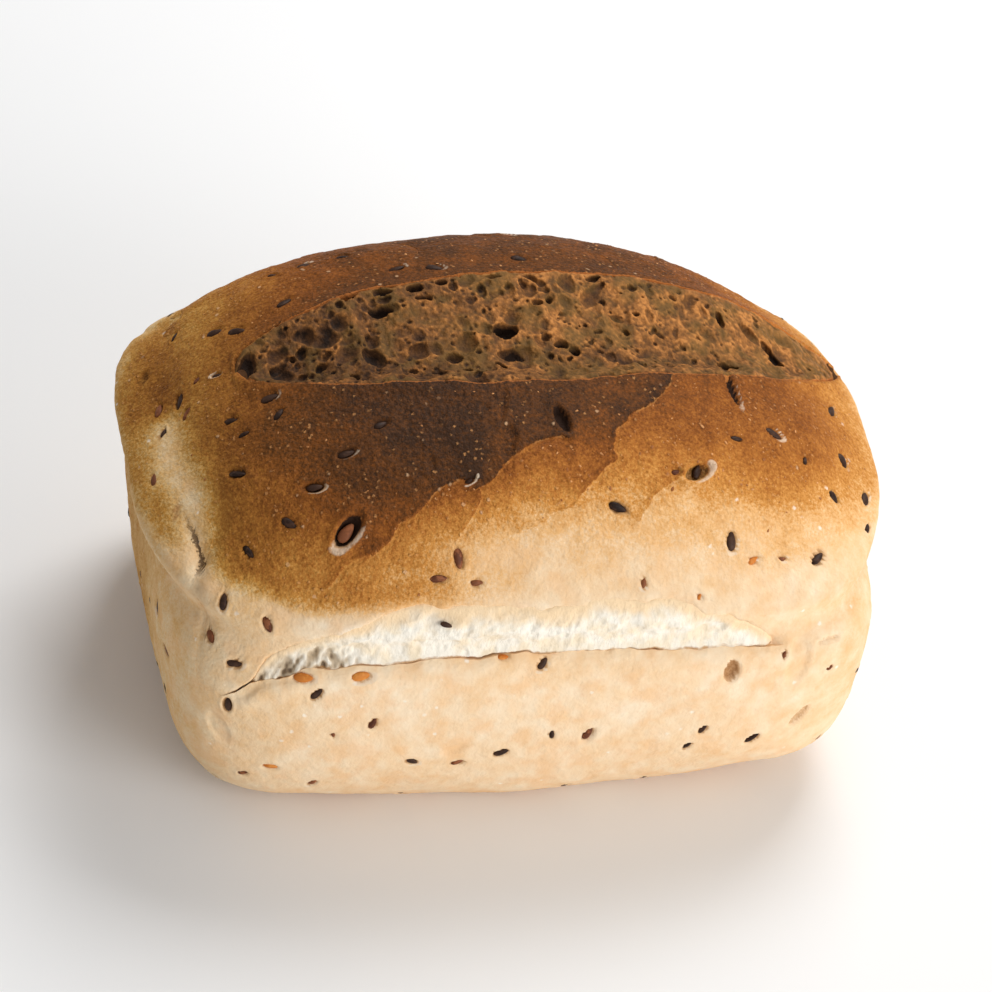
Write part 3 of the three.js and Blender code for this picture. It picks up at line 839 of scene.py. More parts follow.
@dataclass(frozen=True)
class CrustFinish:
    """Baked crust, from the cream of the tin part to the dark top of the crown."""

    stops: tuple[tuple[float, Colour], ...] = (
        (0.00, tint(249, 230, 202)),
        (0.12, tint(244, 212, 172)),
        (0.26, tint(232, 181, 121)),
        (0.40, tint(207, 142, 69)),
        (0.55, tint(175, 109, 47)),
        (0.70, tint(138, 79, 33)),
        (0.85, tint(98, 59, 29)),
        (1.00, tint(62, 41, 27)),
    )
    peach: Colour = tint(240, 192, 140)
    fleck: Colour = tint(222, 158, 98)
    # Pale blister specks, partly painted glints.
    blister: Colour = tint(236, 190, 146)
    rim: Colour = tint(226, 160, 92)
    flour: Colour = tint(252, 246, 236)
    # Painted shade inside the pits: darkest where the crust is brown, paler where it is pale, and a softer
    # ring round each pit.
    hollow: Colour = tint(48, 31, 22)
    shallow_shade: Colour = tint(186, 136, 86)
    pale_pit_shade: Colour = tint(146, 98, 52)
    # Pale torn rim and painted highlight on the lower side of pits.
    scar: Colour = tint(240, 218, 192)
    shade: Colour = (0.86, 0.97, 0.93)
    # Painted shade in the short split in the left end.
    split: Colour = tint(84, 58, 38)
    lip: Colour = tint(196, 118, 58)
    inside: Colour = tint(84, 54, 30)
    crumb: Colour = tint(247, 238, 221)

    def build(self) -> bpy.types.Material:
        """The material."""
        s = Shader("baked_crust")
        bake = s.attribute("bake")
        blotchy, grainy, fine = s.noise(5, 3) - 0.5, s.noise(0.9, 3) - 0.5, s.noise(0.42, 2) - 0.5
        browned = s.between(bake, 0.05, 0.4)
        plate, at_plate = s.attribute("plate_side") + grainy * 0.7, s.attribute("plate_near")
        crisp = (s.between(plate, -0.15, 0.15) - 0.5) * at_plate

        baked = bake + (s.noise(16, 3) - 0.5) * 0.15 + blotchy * 0.25
        baked = baked + (grainy * 0.42 + fine * 0.26) * browned + crisp * 0.12
        colour = s.ramp(baked, self.stops)
        colour = s.blend(s.attribute("end_light") * browned, colour, self.shade, "MULTIPLY")
        pale = 1 - s.between(bake, 0.1, 0.4)
        colour = s.blend(pale * s.patches(7, 5, 0.44, 0.7) * 0.55, colour, self.peach)

        flecks = s.specks(1.9, fine * 0.4, 0.1, 0.28) * s.patches(5, 3, 0.46, 0.6)
        flecks = flecks * s.between(bake, 0.24, 0.45)
        colour = s.blend(flecks * 0.55, colour, self.fleck)
        # Pale blister specks on the browned crust, partly painted glints.
        blister = s.specks(5.5, grainy * 0.16, 0.05, 0.12) * s.patches(18, 2, 0.44, 0.54)
        blister = blister * s.between(bake, 0.3, 0.4)
        colour = s.blend(blister * 0.6, colour, self.blister)
        rim = s.line(plate, -0.55, -0.2, -0.15, 0.1) * at_plate
        colour = s.blend(rim * s.patches(2.5, 3, 0.46, 0.62) * 0.36, colour, self.rim)
        flour = s.specks(6.5, grainy * 0.16, 0.04, 0.12) * s.patches(20, 2, 0.44, 0.52)
        flour = flour * (1 - s.between(bake, 0.38, 0.55))
        colour = s.blend(flour * 0.6, colour, self.flour)

        lip = s.attribute("lip_side") + grainy * 0.9
        colour = s.blend(1 - s.between(lip, -0.45, -0.1), colour, self.inside)
        colour = s.blend(s.line(lip, -0.4, -0.1, 0.1, 0.4) * 0.7, colour, self.lip)
        torn = s.attribute("torn")
        colour = s.blend(s.between(torn + blotchy * 0.5 * torn, 0.0, 1.0), colour, self.crumb)
        colour = self._pitted(s, colour, bake, blotchy * 1.6 + grainy * 0.8, grainy * 0.3 + fine * 0.2)
        # Painted shade along the short split in the left end.
        split = s.line(s.attribute("split_side") + grainy * 1.2, -0.4, -0.1, 0.1, 0.4)
        split = split * s.attribute("split_open")
        colour = s.blend(split * 0.85, colour, self.split)

        rough = s.between(bake, 0.3, 1.0, 0.7, 0.58) + grainy * 0.2
        skin = browned * 0.7 + 0.3
        relief = s.bump(s.noise(0.55, 2) * skin, 0.26, 0.8)
        relief = s.bump((s.noise(1.2, 3) - s.spots(1.3) * 0.35) * skin, 0.5, 0.9, relief)
        relief = s.bump(s.noise(3.2, 3), 0.8, 0.5, relief)
        relief = s.bump(flecks + blister * 1.5 + crisp * 1.6 - split * 2.0, 0.3, 0.8, relief)
        return s.finish(colour, rough, relief, Specular_IOR_Level=0.07)

    def _pitted(self, s: Shader, colour: Sock, bake: Sock, torn: Sock, ragged: Sock) -> Sock:
        """The crust's colour with its pits, whose painted shade is lighter where the crust is pale.

        Args:
            s: the material.
            colour: the crust's colour.
            bake: how brown it is.
            torn: unevenness of the pits' pale torn rims and painted highlights.
            ragged: unevenness of the pits' edges.

        Returns:
            The colour.
        """
        # A pale torn rim and a painted highlight on each pit's lower side, leaning towards the loaf's right
        # end.
        scar = s.attribute("scar")
        colour = s.blend(s.between(scar + torn * scar, 0.34, 0.7) * 0.62, colour, self.scar)
        # Painted shade in the pits, as dark as each pit's own setting, with ragged edges.
        hollow = s.attribute("hollow")
        hollow = hollow + ragged * s.between(hollow, 0.0, 0.3)
        colour = s.blend(s.between(hollow, 0.1, 0.4) * 0.7, colour, self.shallow_shade, "DARKEN")
        inner = s.blend(s.between(bake, 0.1, 0.45), self.pale_pit_shade, self.hollow)
        return s.blend(s.between(hollow, 0.34, 0.8), colour, inner)


@dataclass(frozen=True)
class ToastedCrumbFinish:
    """The open crumb in the slash: toasted golden on its webs, with painted highlights on their crests, and
    painted shade in its bubbles and deeper parts.
    """

    stops: tuple[tuple[float, Colour], ...] = (
        (0.00, tint(198, 132, 70)),
        (0.18, tint(160, 105, 54)),
        (0.40, tint(120, 79, 42)),
        (0.68, tint(84, 55, 33)),
        (1.00, tint(42, 28, 20)),
    )
    olive: Colour = tint(118, 92, 46)
    orange: Colour = tint(206, 124, 60)

    def build(self) -> bpy.types.Material:
        """The material."""
        s = Shader("toasted_crumb")
        # The depth value darkens bubbles with painted shade and lightens web crests with painted highlights,
        # on top of the toasting.
        depth = s.attribute("depth")
        mottled = (s.noise(4.5, 5) - 0.5) * 1.1
        colour = s.ramp(depth + mottled + (s.noise(0.8, 3, (1, 1.6, 1)) - 0.5) * 0.7, self.stops)
        olive = s.patches(9, 2, 0.42, 0.62) * (1 - s.between(depth, 0.4, 0.9))
        colour = s.blend(olive * 0.45, colour, self.olive)
        lip = s.attribute("lip_side") + (s.noise(1.2, 3) - 0.5)
        colour = s.blend(s.between(lip, -0.5, -0.1) * 0.6, colour, self.orange)
        relief = s.bump(s.noise(0.6, 3), 0.35, 0.7)
        relief = s.bump(s.noise(1.7, 4, (1, 1.8, 1)), 0.9, 0.8, relief)
        return s.finish(colour, 0.7, relief, Specular_IOR_Level=0.12)


@dataclass(frozen=True)
class TornCrumbFinish:
    """The white, unbaked crumb of a torn seam."""

    crumb: Colour = tint(249, 242, 228)
    cream: Colour = tint(243, 226, 198)
    # Painted shade for the torn crumb's dips and its fissure.
    hollow: Colour = tint(190, 168, 138)
    dark: Colour = tint(112, 90, 68)
    crack: Colour = tint(186, 140, 92)
    skin: Colour = tint(247, 217, 176)

    def build(self) -> bpy.types.Material:
        """The material."""
        s = Shader("torn_crumb")
        streaks = s.noise(1.6, 4, (1, 1, 2.4)) - 0.5
        colour = s.blend(s.patches(6, 4, 0.4, 0.66), self.crumb, self.cream)
        under = s.attribute("under_top") + (s.noise(9, 4) - 0.5) * 9 + streaks * 2
        colour = s.blend(1 - s.between(under, 0.8, 5.2), colour, self.skin)
        # Painted shade: dips in the torn crumb greyer, the fissure darkest.
        depth = s.attribute("depth") + streaks * 0.6
        colour = s.blend(s.between(depth, 0.12, 0.8) * 0.85, colour, self.hollow)
        colour = s.blend(s.between(depth, 0.85, 1.35) * 0.8, colour, self.dark)
        crack = 1 - s.between(s.attribute("above_crack") + streaks, 0.25, 0.8)
        colour = s.blend(crack * (0.15 + s.patches(7, 3, 0.42, 0.56) * 0.75), colour, self.crack)
        relief = s.bump(s.noise(0.6, 3, (1, 1, 1.8)), 0.3, 0.7)
        relief = s.bump(s.noise(2.0, 3, (1, 1, 1.6)), 0.6, 0.6, relief)
        return s.finish(colour, 0.85, relief, Specular_IOR_Level=0.15)


@dataclass(frozen=True)
class SeedFinish:
    """The skin of a flax seed, or of a blister."""

    name: str
    skin: Colour
    worn: Colour
    roughness: float = 0.5

    def build(self) -> bpy.types.Material:
        """The material."""
        s = Shader(self.name)
        colour = s.blend(s.attribute("tone"), self.skin, self.worn)
        colour = s.blend(s.patches(1.3, 3, 0.46, 0.66) * 0.6, colour, self.worn)
        relief = s.bump(s.noise(0.35, 2), 0.08, 0.5)
        return s.finish(colour, self.roughness, relief, Specular_IOR_Level=0.14)


# ---- Meshes --------------------------------------------------------------------


class MeshBuilder:
    """Collects points and faces of one closed piece, in form millimetres."""

    def __init__(self) -> None:
        """Starts empty."""
        self.parts: list[Array] = []
        self.faces: list[Array] = []
        self.count = 0

    def add(self, points: Array) -> Array:
        """Adds points and returns their indices in the same layout."""
        layout = points.shape[:-1]
        flat = points.reshape(-1, 3)
        start = self.count
        self.parts.append(flat)
        self.count += len(flat)
        return np.arange(start, self.count).reshape(layout)

    def patch(self, grid: Array) -> None:
        """Adds the four-sided faces of a grid of indices."""
        quads = np.stack([grid[:-1, :-1], grid[1:, :-1], grid[1:, 1:], grid[:-1, 1:]], axis=-1)
        self.faces.append(quads.reshape(-1, 4))

    def fan(self, ring: Array, middle: int) -> None:
        """Adds three-sided faces from a ring of indices to a middle point."""
        following = np.roll(ring, -1)
        blank = np.full(len(ring), -1)
        self.faces.append(np.stack([ring, following, np.full(len(ring), middle), blank], axis=-1))

    @property
    def points(self) -> Array:
        """All points."""
        return np.concatenate(self.parts)

    @property
    def quads(self) -> Array:
        """All faces, with -1 for the missing fourth corner of a triangle."""
        return np.concatenate(self.faces)


def facing_out(points: Array, faces: Array) -> Array:
    """The faces of a closed mesh, turned round if they point inwards."""
    triangles = faces[:, 3] < 0
    a, b, c = (points[faces[:, k]] for k in range(3))
    d = points[np.where(triangles, faces[:, 2], faces[:, 3])]
    volume = sum(np.einsum("ij,ij->i", a, np.cross(*pair)).sum() for pair in ((b, c), (c, d)))
    if volume >= 0:
        return faces
    turned = faces.copy()
    turned[~triangles] = faces[~triangles][:, ::-1]
    turned[triangles, :3] = faces[triangles][:, [2, 1, 0]]
    return turned


def keep_sharp(mesh: bpy.types.Mesh, sharp: Array) -> None:
    """Keeps the edges between pairs of vertices sharp."""
    ends = np.zeros(len(mesh.edges) * 2, np.int32)
    mesh.edges.foreach_get("vertices", ends)
    keys = []
    for pairs in (ends.reshape(-1, 2), sharp):
        low, high = np.sort(pairs, axis=1).astype(np.int64).T
        keys.append(low * len(mesh.vertices) + high)
    layer = mesh.attributes.new("sharp_edge", "BOOLEAN", "EDGE")
    layer.data.foreach_set("value", np.isin(*keys))


def mesh_object(name: str, points: Array, faces: Array, material: bpy.types.Material,
                values: dict[str, Array], sharp: Array | None = None) -> bpy.types.Object:
    """Makes an object from points in form millimetres.

    Args:
        name: the piece's name.
        points: its vertices, already centred on the frame.
        faces: rows of four indices, with -1 for the missing corner of a triangle.
        material: its finish.
        values: values kept on its vertices, by name.
        sharp: rows of two indices, whose edges stay sharp.

    Returns:
        The object, with its faces pointing outwards.
    """
    points = points * MM
    faces = facing_out(points, faces)
    loops = faces[faces >= 0]
    sizes = np.where(faces[:, 3] < 0, 3, 4)
    starts = np.concatenate([[0], np.cumsum(sizes)[:-1]])
    mesh = bpy.data.meshes.new(name)
    mesh.vertices.add(len(points))
    mesh.vertices.foreach_set("co", points.astype(np.float32).ravel())
    mesh.loops.add(len(loops))
    mesh.loops.foreach_set("vertex_index", loops.astype(np.int32))
    mesh.polygons.add(len(faces))
    mesh.polygons.foreach_set("loop_start", starts.astype(np.int32))
    mesh.update(calc_edges=True)
    mesh.validate()
    mesh.polygons.foreach_set("use_smooth", np.ones(len(mesh.polygons), bool))
    for key, array in values.items():
        layer = mesh.attributes.new(key, "FLOAT", "POINT")
        layer.data.foreach_set("value", array.astype(np.float32))
    if sharp is not None:
        keep_sharp(mesh, sharp)
    mesh.materials.append(material)
    obj = bpy.data.objects.new(name, mesh)
    bpy.context.scene.collection.objects.link(obj)
    return obj


def declare(obj: bpy.types.Object, replaces: bool = False) -> None:
    """Rides a finished piece on the loaf's body.

    Args:
        obj: the piece.
        replaces: whether it stands for the frame's solid.
    """
    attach(obj, BODY)
    if replaces:
        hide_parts(NODE)
    obj.data.calc_loop_triangles()
    LOG.info("%s: %d triangles", obj.name, len(obj.data.loop_triangles))


# ---- Marks read from the photograph --------------------------------------------


class Kind(Enum):
    """The kinds of flax seed, by the names of their pieces."""

    DARK = "seeds_dark"
    BROWN = "seeds_brown"
    GOLDEN = "seeds_golden"

    @property
    def pit_dark(self) -> float:
        """How dark the painted shade in the pits of this kind is."""
        return {Kind.DARK: 0.62, Kind.BROWN: 0.5, Kind.GOLDEN: 0.34}[self]


# Seeds that the photograph shows: pixel, turn in the picture in degrees, length in mm.
SEEN_SEEDS: dict[Kind, tuple[tuple[float, float, float, float], ...]] = {
    Kind.DARK: (
        (237, 473, 2, 4.9), (289, 524, -32, 4.4), (248, 552, -50, 4.2), (223, 602, 84, 4.2),
        (157, 607, 82, 4.2), (234, 664, -4, 4.2), (227, 705, 86, 4.6), (317, 695, 42, 4.4),
        (543, 664, 52, 3.6), (501, 753, 14, 4.2), (412, 762, -14, 3.4), (552, 735, 88, 3.0),
        (703, 730, 46, 3.4), (752, 739, 28, 4.4), (732, 541, 88, 5.0), (818, 558, 52, 4.8),
        (806, 460, 80, 2.8), (843, 460, -66, 4.6), (835, 497, -52, 4.2), (866, 498, 88, 4.6),
        (868, 528, 80, 3.2), (832, 411, 84, 4.8), (774, 433, -34, 5.0), (737, 438, -12, 3.6),
        (618, 508, -22, 5.2), (519, 258, -8, 4.8), (284, 302, 36, 4.8), (236, 331, 12, 4.8),
        (214, 332, 26, 4.4), (303, 265, 20, 4.0), (342, 256, 10, 4.2), (272, 275, 10, 2.8),
        (396, 268, 12, 4.6), (434, 267, -6, 4.8), (174, 337, 60, 3.0), (179, 401, 80, 5.0),
        (231, 420, 14, 4.2), (269, 397, 24, 4.8), (278, 414, 56, 4.0), (243, 434, 28, 3.4),
        (216, 375, 20, 2.6), (808, 356, -52, 4.0), (163, 433, 66, 2.8), (314, 487, 4, 4.4),
        (346, 453, 18, 4.6), (381, 424, 28, 4.0), (698, 471, 70, 4.0), (687, 746, 30, 3.2),
        (447, 626, -14, 3.4), (470, 480, 40, 3.0),
    ),
    Kind.BROWN: (
        (459, 559, -82, 5.4), (439, 579, 4, 4.4), (477, 583, 2, 3.4), (267, 625, -66, 4.2),
        (166, 651, -64, 4.4), (186, 413, 62, 4.0), (158, 410, 80, 4.6), (196, 380, 60, 2.6),
        (644, 583, 84, 2.8), (783, 559, 10, 2.2), (210, 636, -76, 3.8), (588, 735, 46, 4.0),
        (458, 763, 6, 3.6), (243, 773, 0, 2.8), (312, 783, 30, 3.6), (153, 480, 84, 4.4),
        (677, 472, 4, 3.2), (346, 533, 54, 5.6), (373, 724, 58, 3.8), (333, 736, -80, 2.0),
        (830, 668, 30, 2.2), (785, 655, 74, 2.4),
    ),
    Kind.GOLDEN: (
        (303, 678, -2, 5.0), (362, 677, 6, 5.0), (504, 656, -6, 3.2), (604, 649, -36, 3.2),
        (270, 767, -6, 4.0), (700, 597, 66, 2.0), (754, 560, 34, 3.6),
    ),
}


@dataclass(frozen=True)
class Pit:
    """A pit in the crust: its sizes in mm, how dark its painted shade is, and its rim's height, which for a
    dent also sets its pale torn rim and painted highlight.
    """

    long: float
    wide: float
    depth: float
    dark: float
    rim: float = 0.15


@dataclass(frozen=True)
class Dent:
    """A pit or tear that the photograph shows: pixel, turn in the picture in degrees, sizes."""

    px: float
    py: float
    turn: float
    pit: Pit


DENTS = tuple(Dent(px, py, turn, Pit(*sizes)) for px, py, turn, *sizes in (
    (562, 419, -62, 7.4, 3.0, 1.8, 0.95, 0.4), (348, 531, 54, 8.8, 4.4, 1.3, 0.95, 0.7),
    (732, 672, 76, 6.6, 3.4, 1.5, 0.6), (799, 716, 46, 7.4, 2.6, 0.9, 0.3),
    (799, 662, 78, 14.0, 6.0, 0.7, 0.04, 0.0), (218, 728, -62, 10.0, 5.0, 0.6, 0.05, 0.0),
    (732, 388, -72, 10.5, 2.6, 1.6, 0.95, 0.6), (716, 374, 10, 7.0, 2.2, 1.6, 0.9, 0.3),
    (508, 441, 84, 9.0, 4.2, 0.8, 0.42, 0.1), (503, 405, 84, 11.0, 1.5, 0.6, 0.5, 0.15),
    (143, 378, 58, 5.0, 3.4, 0.9, 0.55), (176, 512, 76, 5.0, 1.6, 0.5, 0.35, 0.1),
    (698, 472, 24, 7.0, 3.6, 1.0, 0.6, 0.8), (485, 408, 80, 3.2, 2.2, 0.3, 0.25, 0.1),
    (314, 487, 4, 6.0, 3.0, 0.6, 0.4, 0.15), (431, 464, 80, 3.8, 2.4, 0.4, 0.35, 0.1),
    (589, 735, 46, 6.4, 2.8, 0.6, 0.1), (454, 750, 20, 6.0, 2.6, 0.5, 0.1),
    (829, 640, 20, 7.0, 1.4, 0.9, 0.2),
))


@dataclass(frozen=True)
class PlateEdge:
    """A ragged edge where an upper, browner skin of the crust ends, by pixels."""

    run: tuple[tuple[float, float], ...]
    step: float
    bake: float
    reach: float = 12.0


PLATE_EDGES = (
    PlateEdge(((372, 556), (384, 546), (392, 540), (399, 524), (416, 516), (430, 497), (443, 486),
               (458, 480), (478, 480)), 0.45, 0.16),
    PlateEdge(((462, 533), (470, 520), (478, 508), (481, 498), (480, 488)), 0.55, 0.03, 3.0),
    PlateEdge(((478, 488), (490, 482), (503, 468), (510, 458), (524, 448), (540, 441), (558, 435),
               (568, 438)), 0.5, 0.17),
    PlateEdge(((584, 492), (600, 474), (606, 468), (618, 459), (613, 450), (616, 430), (630, 415),
               (646, 407), (660, 397), (669, 384), (671, 377)), 0.4, 0.17, 9.0),
    PlateEdge(((640, 520), (648, 508), (654, 495), (671, 484), (682, 476)), 0.4, 0.08, 7.0),
    PlateEdge(((520, 532), (535, 526), (546, 523), (552, 512), (575, 506)), 0.25, 0.06, 6.0),
    PlateEdge(((330, 586), (345, 566), (365, 556), (380, 547)), 0.25, 0.10, 7.0),
)


@dataclass
class Mark:
    """A place on the crust, with its outward normal and the direction of its length."""

    at: Array
    out: Array
    along: Array

    def local(self, points: Array) -> tuple[Array, Array]:
        """Points' distances along and across the mark."""
        away = points - self.at
        return away @ self.along, away @ np.cross(self.out, self.along)


class Finder:
    """Finds places on the crust, by photograph pixels or by direction."""

    OUTSIDE = 300.0
    STEEPEST = -0.35
    LEAST_FACING = 0.12

    def __init__(self, camera: PhotoCamera, points: Array, faces: Array) -> None:
        """Args:
            camera: the photograph's camera.
            points: the crust's vertices in centred millimetres.
            faces: its faces.
        """
        self.camera = camera
        rows = [[int(i) for i in face if i >= 0] for face in faces]
        self.tree = BVHTree.FromPolygons([Vector(p) for p in points.tolist()], rows)
        self.eye = camera.place / MM

    def by_pixel(self, px: float, py: float, turn: float) -> Mark | None:
        """The mark that a pixel shows, or None off the loaf.

        Args:
            px: pixel across.
            py: pixel down.
            turn: direction of its length in the picture, in degrees.

        Returns:
            The mark.
        """
        sight = self.camera.ray(px, py)
        place, out, _, _ = self.tree.ray_cast(self.eye, sight)
        if place is None:
            return None
        if out.dot(sight) > 0:
            out = -out
        right, up, _ = self.camera.axes
        drawn = right * math.cos(math.radians(turn)) + up * math.sin(math.radians(turn))
        facing = min(out.dot(sight), self.STEEPEST)
        along = drawn - sight * (drawn.dot(out) / facing)
        along = (along - out * along.dot(out)).normalized()
        return Mark(np.array(place), np.array(out), np.array(along))

    def by_direction(self, direction: Vector, turn: float, middle: Vector) -> Mark | None:
        """The mark in a direction from the loaf's middle.

        Args:
            direction: where to look.
            turn: turn of its length round the normal, in radians.
            middle: the loaf's middle.

        Returns:
            The mark.
        """
        place, out, _, _ = self.tree.ray_cast(middle + direction * self.OUTSIDE, -direction)
        if place is None:
            return None
        if out.dot(direction) < 0:
            out = -out
        side = out.orthogonal().normalized()
        along = side * math.cos(turn) + out.cross(side) * math.sin(turn)
        return Mark(np.array(place), np.array(out), np.array(along.normalized()))

    def faces_camera(self, mark: Mark) -> bool:
        """Whether the photograph shows the mark's side of the loaf."""
        towards = np.array(self.eye) - mark.at
        return float(mark.out @ towards) / float(np.linalg.norm(towards)) > self.LEAST_FACING


@dataclass
class Seed:
    """One flax seed in the crust."""

    mark: Mark
    kind: Kind
    long: float
    wide: float
    sunk: float
    tone: float
    roll: float
    pitch: float


# ---- The crust -----------------------------------------------------------------


@dataclass
class CrustGrid:
    """How finely the crust is divided."""

    along_top: int = 252
    front_rows: int = 74
    slash_rows: int = 22
    lip_rows: int = 3
    back_rows: int = 66
    foot_rows: int = 84
    crown_rows: int = 46
    base_rows: int = 12


class Crust:
    """The crown and the tin part, which meet at the seam's crack."""

    SHARE_OF_WALL = 1.1
    HIDDEN_SLASH = 4.6
    HIDDEN_SEAM = 2.6
    LIP_PASSES = 12
    LIP_LIMIT = 0.95
    INSET = np.array([0.93, 0.91, 1.0])
    ROOF_DROP = np.array([0.0, 0.0, 2.0])
    LID_DROP = 4.0
    BASE_SHRINK = 0.9

    def __init__(self, form: LoafForm, grid: CrustGrid) -> None:
        """Lays out both pieces on the bare form."""
        self.form = form
        self.grid = grid
        self.crown = MeshBuilder()
        self.tin = MeshBuilder()
        self.sharp: dict[str, Array] = {}
        self.inner: dict[str, Array] = {}
        self._lay_out()

    def _lip_place(self, s: Array, lip: float, offset: float) -> Array:
        """Where the top crosses a lip, across the unit square, in each column."""
        cut = self.form.slash
        t = np.zeros_like(s)
        for _ in range(self.LIP_PASSES):
            p = self.form.top(s, t)
            _, front, back = cut.lips(np.clip(p[..., 0], cut.left[0], cut.right[0]))
            gap = np.maximum((back - front) / 2, 3 * cut.lip_step)
            aim = (front + back) / 2 + lip * gap + offset
            t = t + (aim - p[..., 1]) / (self.form.tin.half_width * self.SHARE_OF_WALL)
            t = np.clip(t, -self.LIP_LIMIT, self.LIP_LIMIT)
        return t

    def _top_places(self) -> tuple[Array, Array]:
        """The top's grid in the unit square, with rows that follow both lips of the slash."""
        grid, step = self.grid, self.form.slash.lip_step
        half = closing(0.0, 1.0, grid.along_top // 2)
        columns = np.concatenate([-half[::-1], [0.0], half])
        lips = ((-1, 0.0), (-1, step), (1, -step), (1, 0.0))
        rows = []
        for f, ff, bf, b in zip(*(self._lip_place(columns, lip, offset) for lip, offset in lips)):
            rows.append(np.concatenate([
                [-1.0], closing(f, -1.0, grid.front_rows)[:-1][::-1], [f], steps(f, ff, grid.lip_rows),
                steps(ff, bf, grid.slash_rows), steps(bf, b, grid.lip_rows), closing(b, 1.0, grid.back_rows),
            ]))
        places = np.array(rows)
        return np.broadcast_to(columns[:, None], places.shape), places

    def _lay_out(self) -> None:
        """Makes the grids of both pieces."""
        s, t = self._top_places()
        top = self.crown.add(self.form.top(s, t))
        self.crown.patch(top)
        rim, s, t = (np.concatenate([g[:-1, 0], g[-1, :-1], g[:0:-1, -1], g[0, :0:-1]]) for g in (top, s, t))
        middle = self.form.wall(s, t, np.full(s.shape, self.form.tin.rim))
        crack = self.form.seam_height(middle[:, 0], middle[:, 1])
        self._lay_crown(rim, s, t, crack)
        self._lay_tin(s, t, crack)

    def _lay_crown(self, rim: Array, s: Array, t: Array, crack: Array) -> None:
        """Adds the crown's wall, from the top's rim down to the crack, and closes it inside.

        Args:
            rim: the indices of the top's rim.
            s: the rim's places along the unit square.
            t: its places across the unit square.
            crack: the crack's heights below the rim.
        """
        edge = self.form.top_edge(s, t)
        above = 1.0 - steps(0.0, 1.0, self.grid.crown_rows)
        wall = self._rings(s, t, crack + (edge[:, 2] - crack) * above[:, None])
        wall_index = np.concatenate([rim[None], self.crown.add(wall)])
        self._close_round(self.crown, wall_index)
        under_index = self.crown.add(wall[-1] * self.INSET)
        self._close_round(self.crown, np.stack([wall_index[-1], under_index]))
        hub = self.crown.add(np.array([[0.0, 0.0, float(crack.min())]]))
        self.crown.fan(under_index, int(hub[0]))
        self.inner["crown"] = np.concatenate([under_index, hub])
        self.sharp["crown"] = np.stack([wall_index[-1], np.roll(wall_index[-1], -1)], axis=-1)

    def _lay_tin(self, s: Array, t: Array, crack: Array) -> None:
        """Adds the tin part, from its hidden lid over the crack down to its base.

        Args:
            s: the wall's places along the unit square.
            t: its places across the unit square.
            crack: the crack's heights.
        """
        below = steps(0.0, 1.0, self.grid.foot_rows)
        side = self._rings(s, t, crack * (1.0 - np.concatenate([[0.0], below])[:, None]))
        side_index = self.tin.add(side)
        self._close_round(self.tin, side_index)
        roof_index = self.tin.add(side[0] * self.INSET - self.ROOF_DROP)
        self._close_round(self.tin, np.stack([roof_index, side_index[0]]))
        lid = self.tin.add(np.array([[0.0, 0.0, float(crack.min()) - self.LID_DROP]]))
        self.tin.fan(roof_index[::-1], int(lid[0]))
        shrink = 1.0 - steps(0.0, self.BASE_SHRINK, self.grid.base_rows)
        base = side[-1][None] * shrink[:, None, None]
        base_index = np.concatenate([side_index[-1][None], self.tin.add(base)])
        self._close_round(self.tin, base_index)
        foot = self.tin.add(np.zeros((1, 3)))
        self.tin.fan(base_index[-1], int(foot[0]))
        self.inner["tin"] = np.concatenate([roof_index, lid])
        self.sharp["tin"] = np.stack([side_index[0], np.roll(side_index[0], -1)], axis=-1)

    def _rings(self, s: Array, t: Array, heights: Array) -> Array:
        """Rings of points round the wall, one for each row of heights."""
        return self.form.wall(np.broadcast_to(s, heights.shape), np.broadcast_to(t, heights.shape), heights)

    @staticmethod
    def _close_round(builder: MeshBuilder, grid: Array) -> None:
        """Adds faces between rings of indices, all the way round."""
        builder.patch(np.concatenate([grid, grid[:, :1]], axis=1))


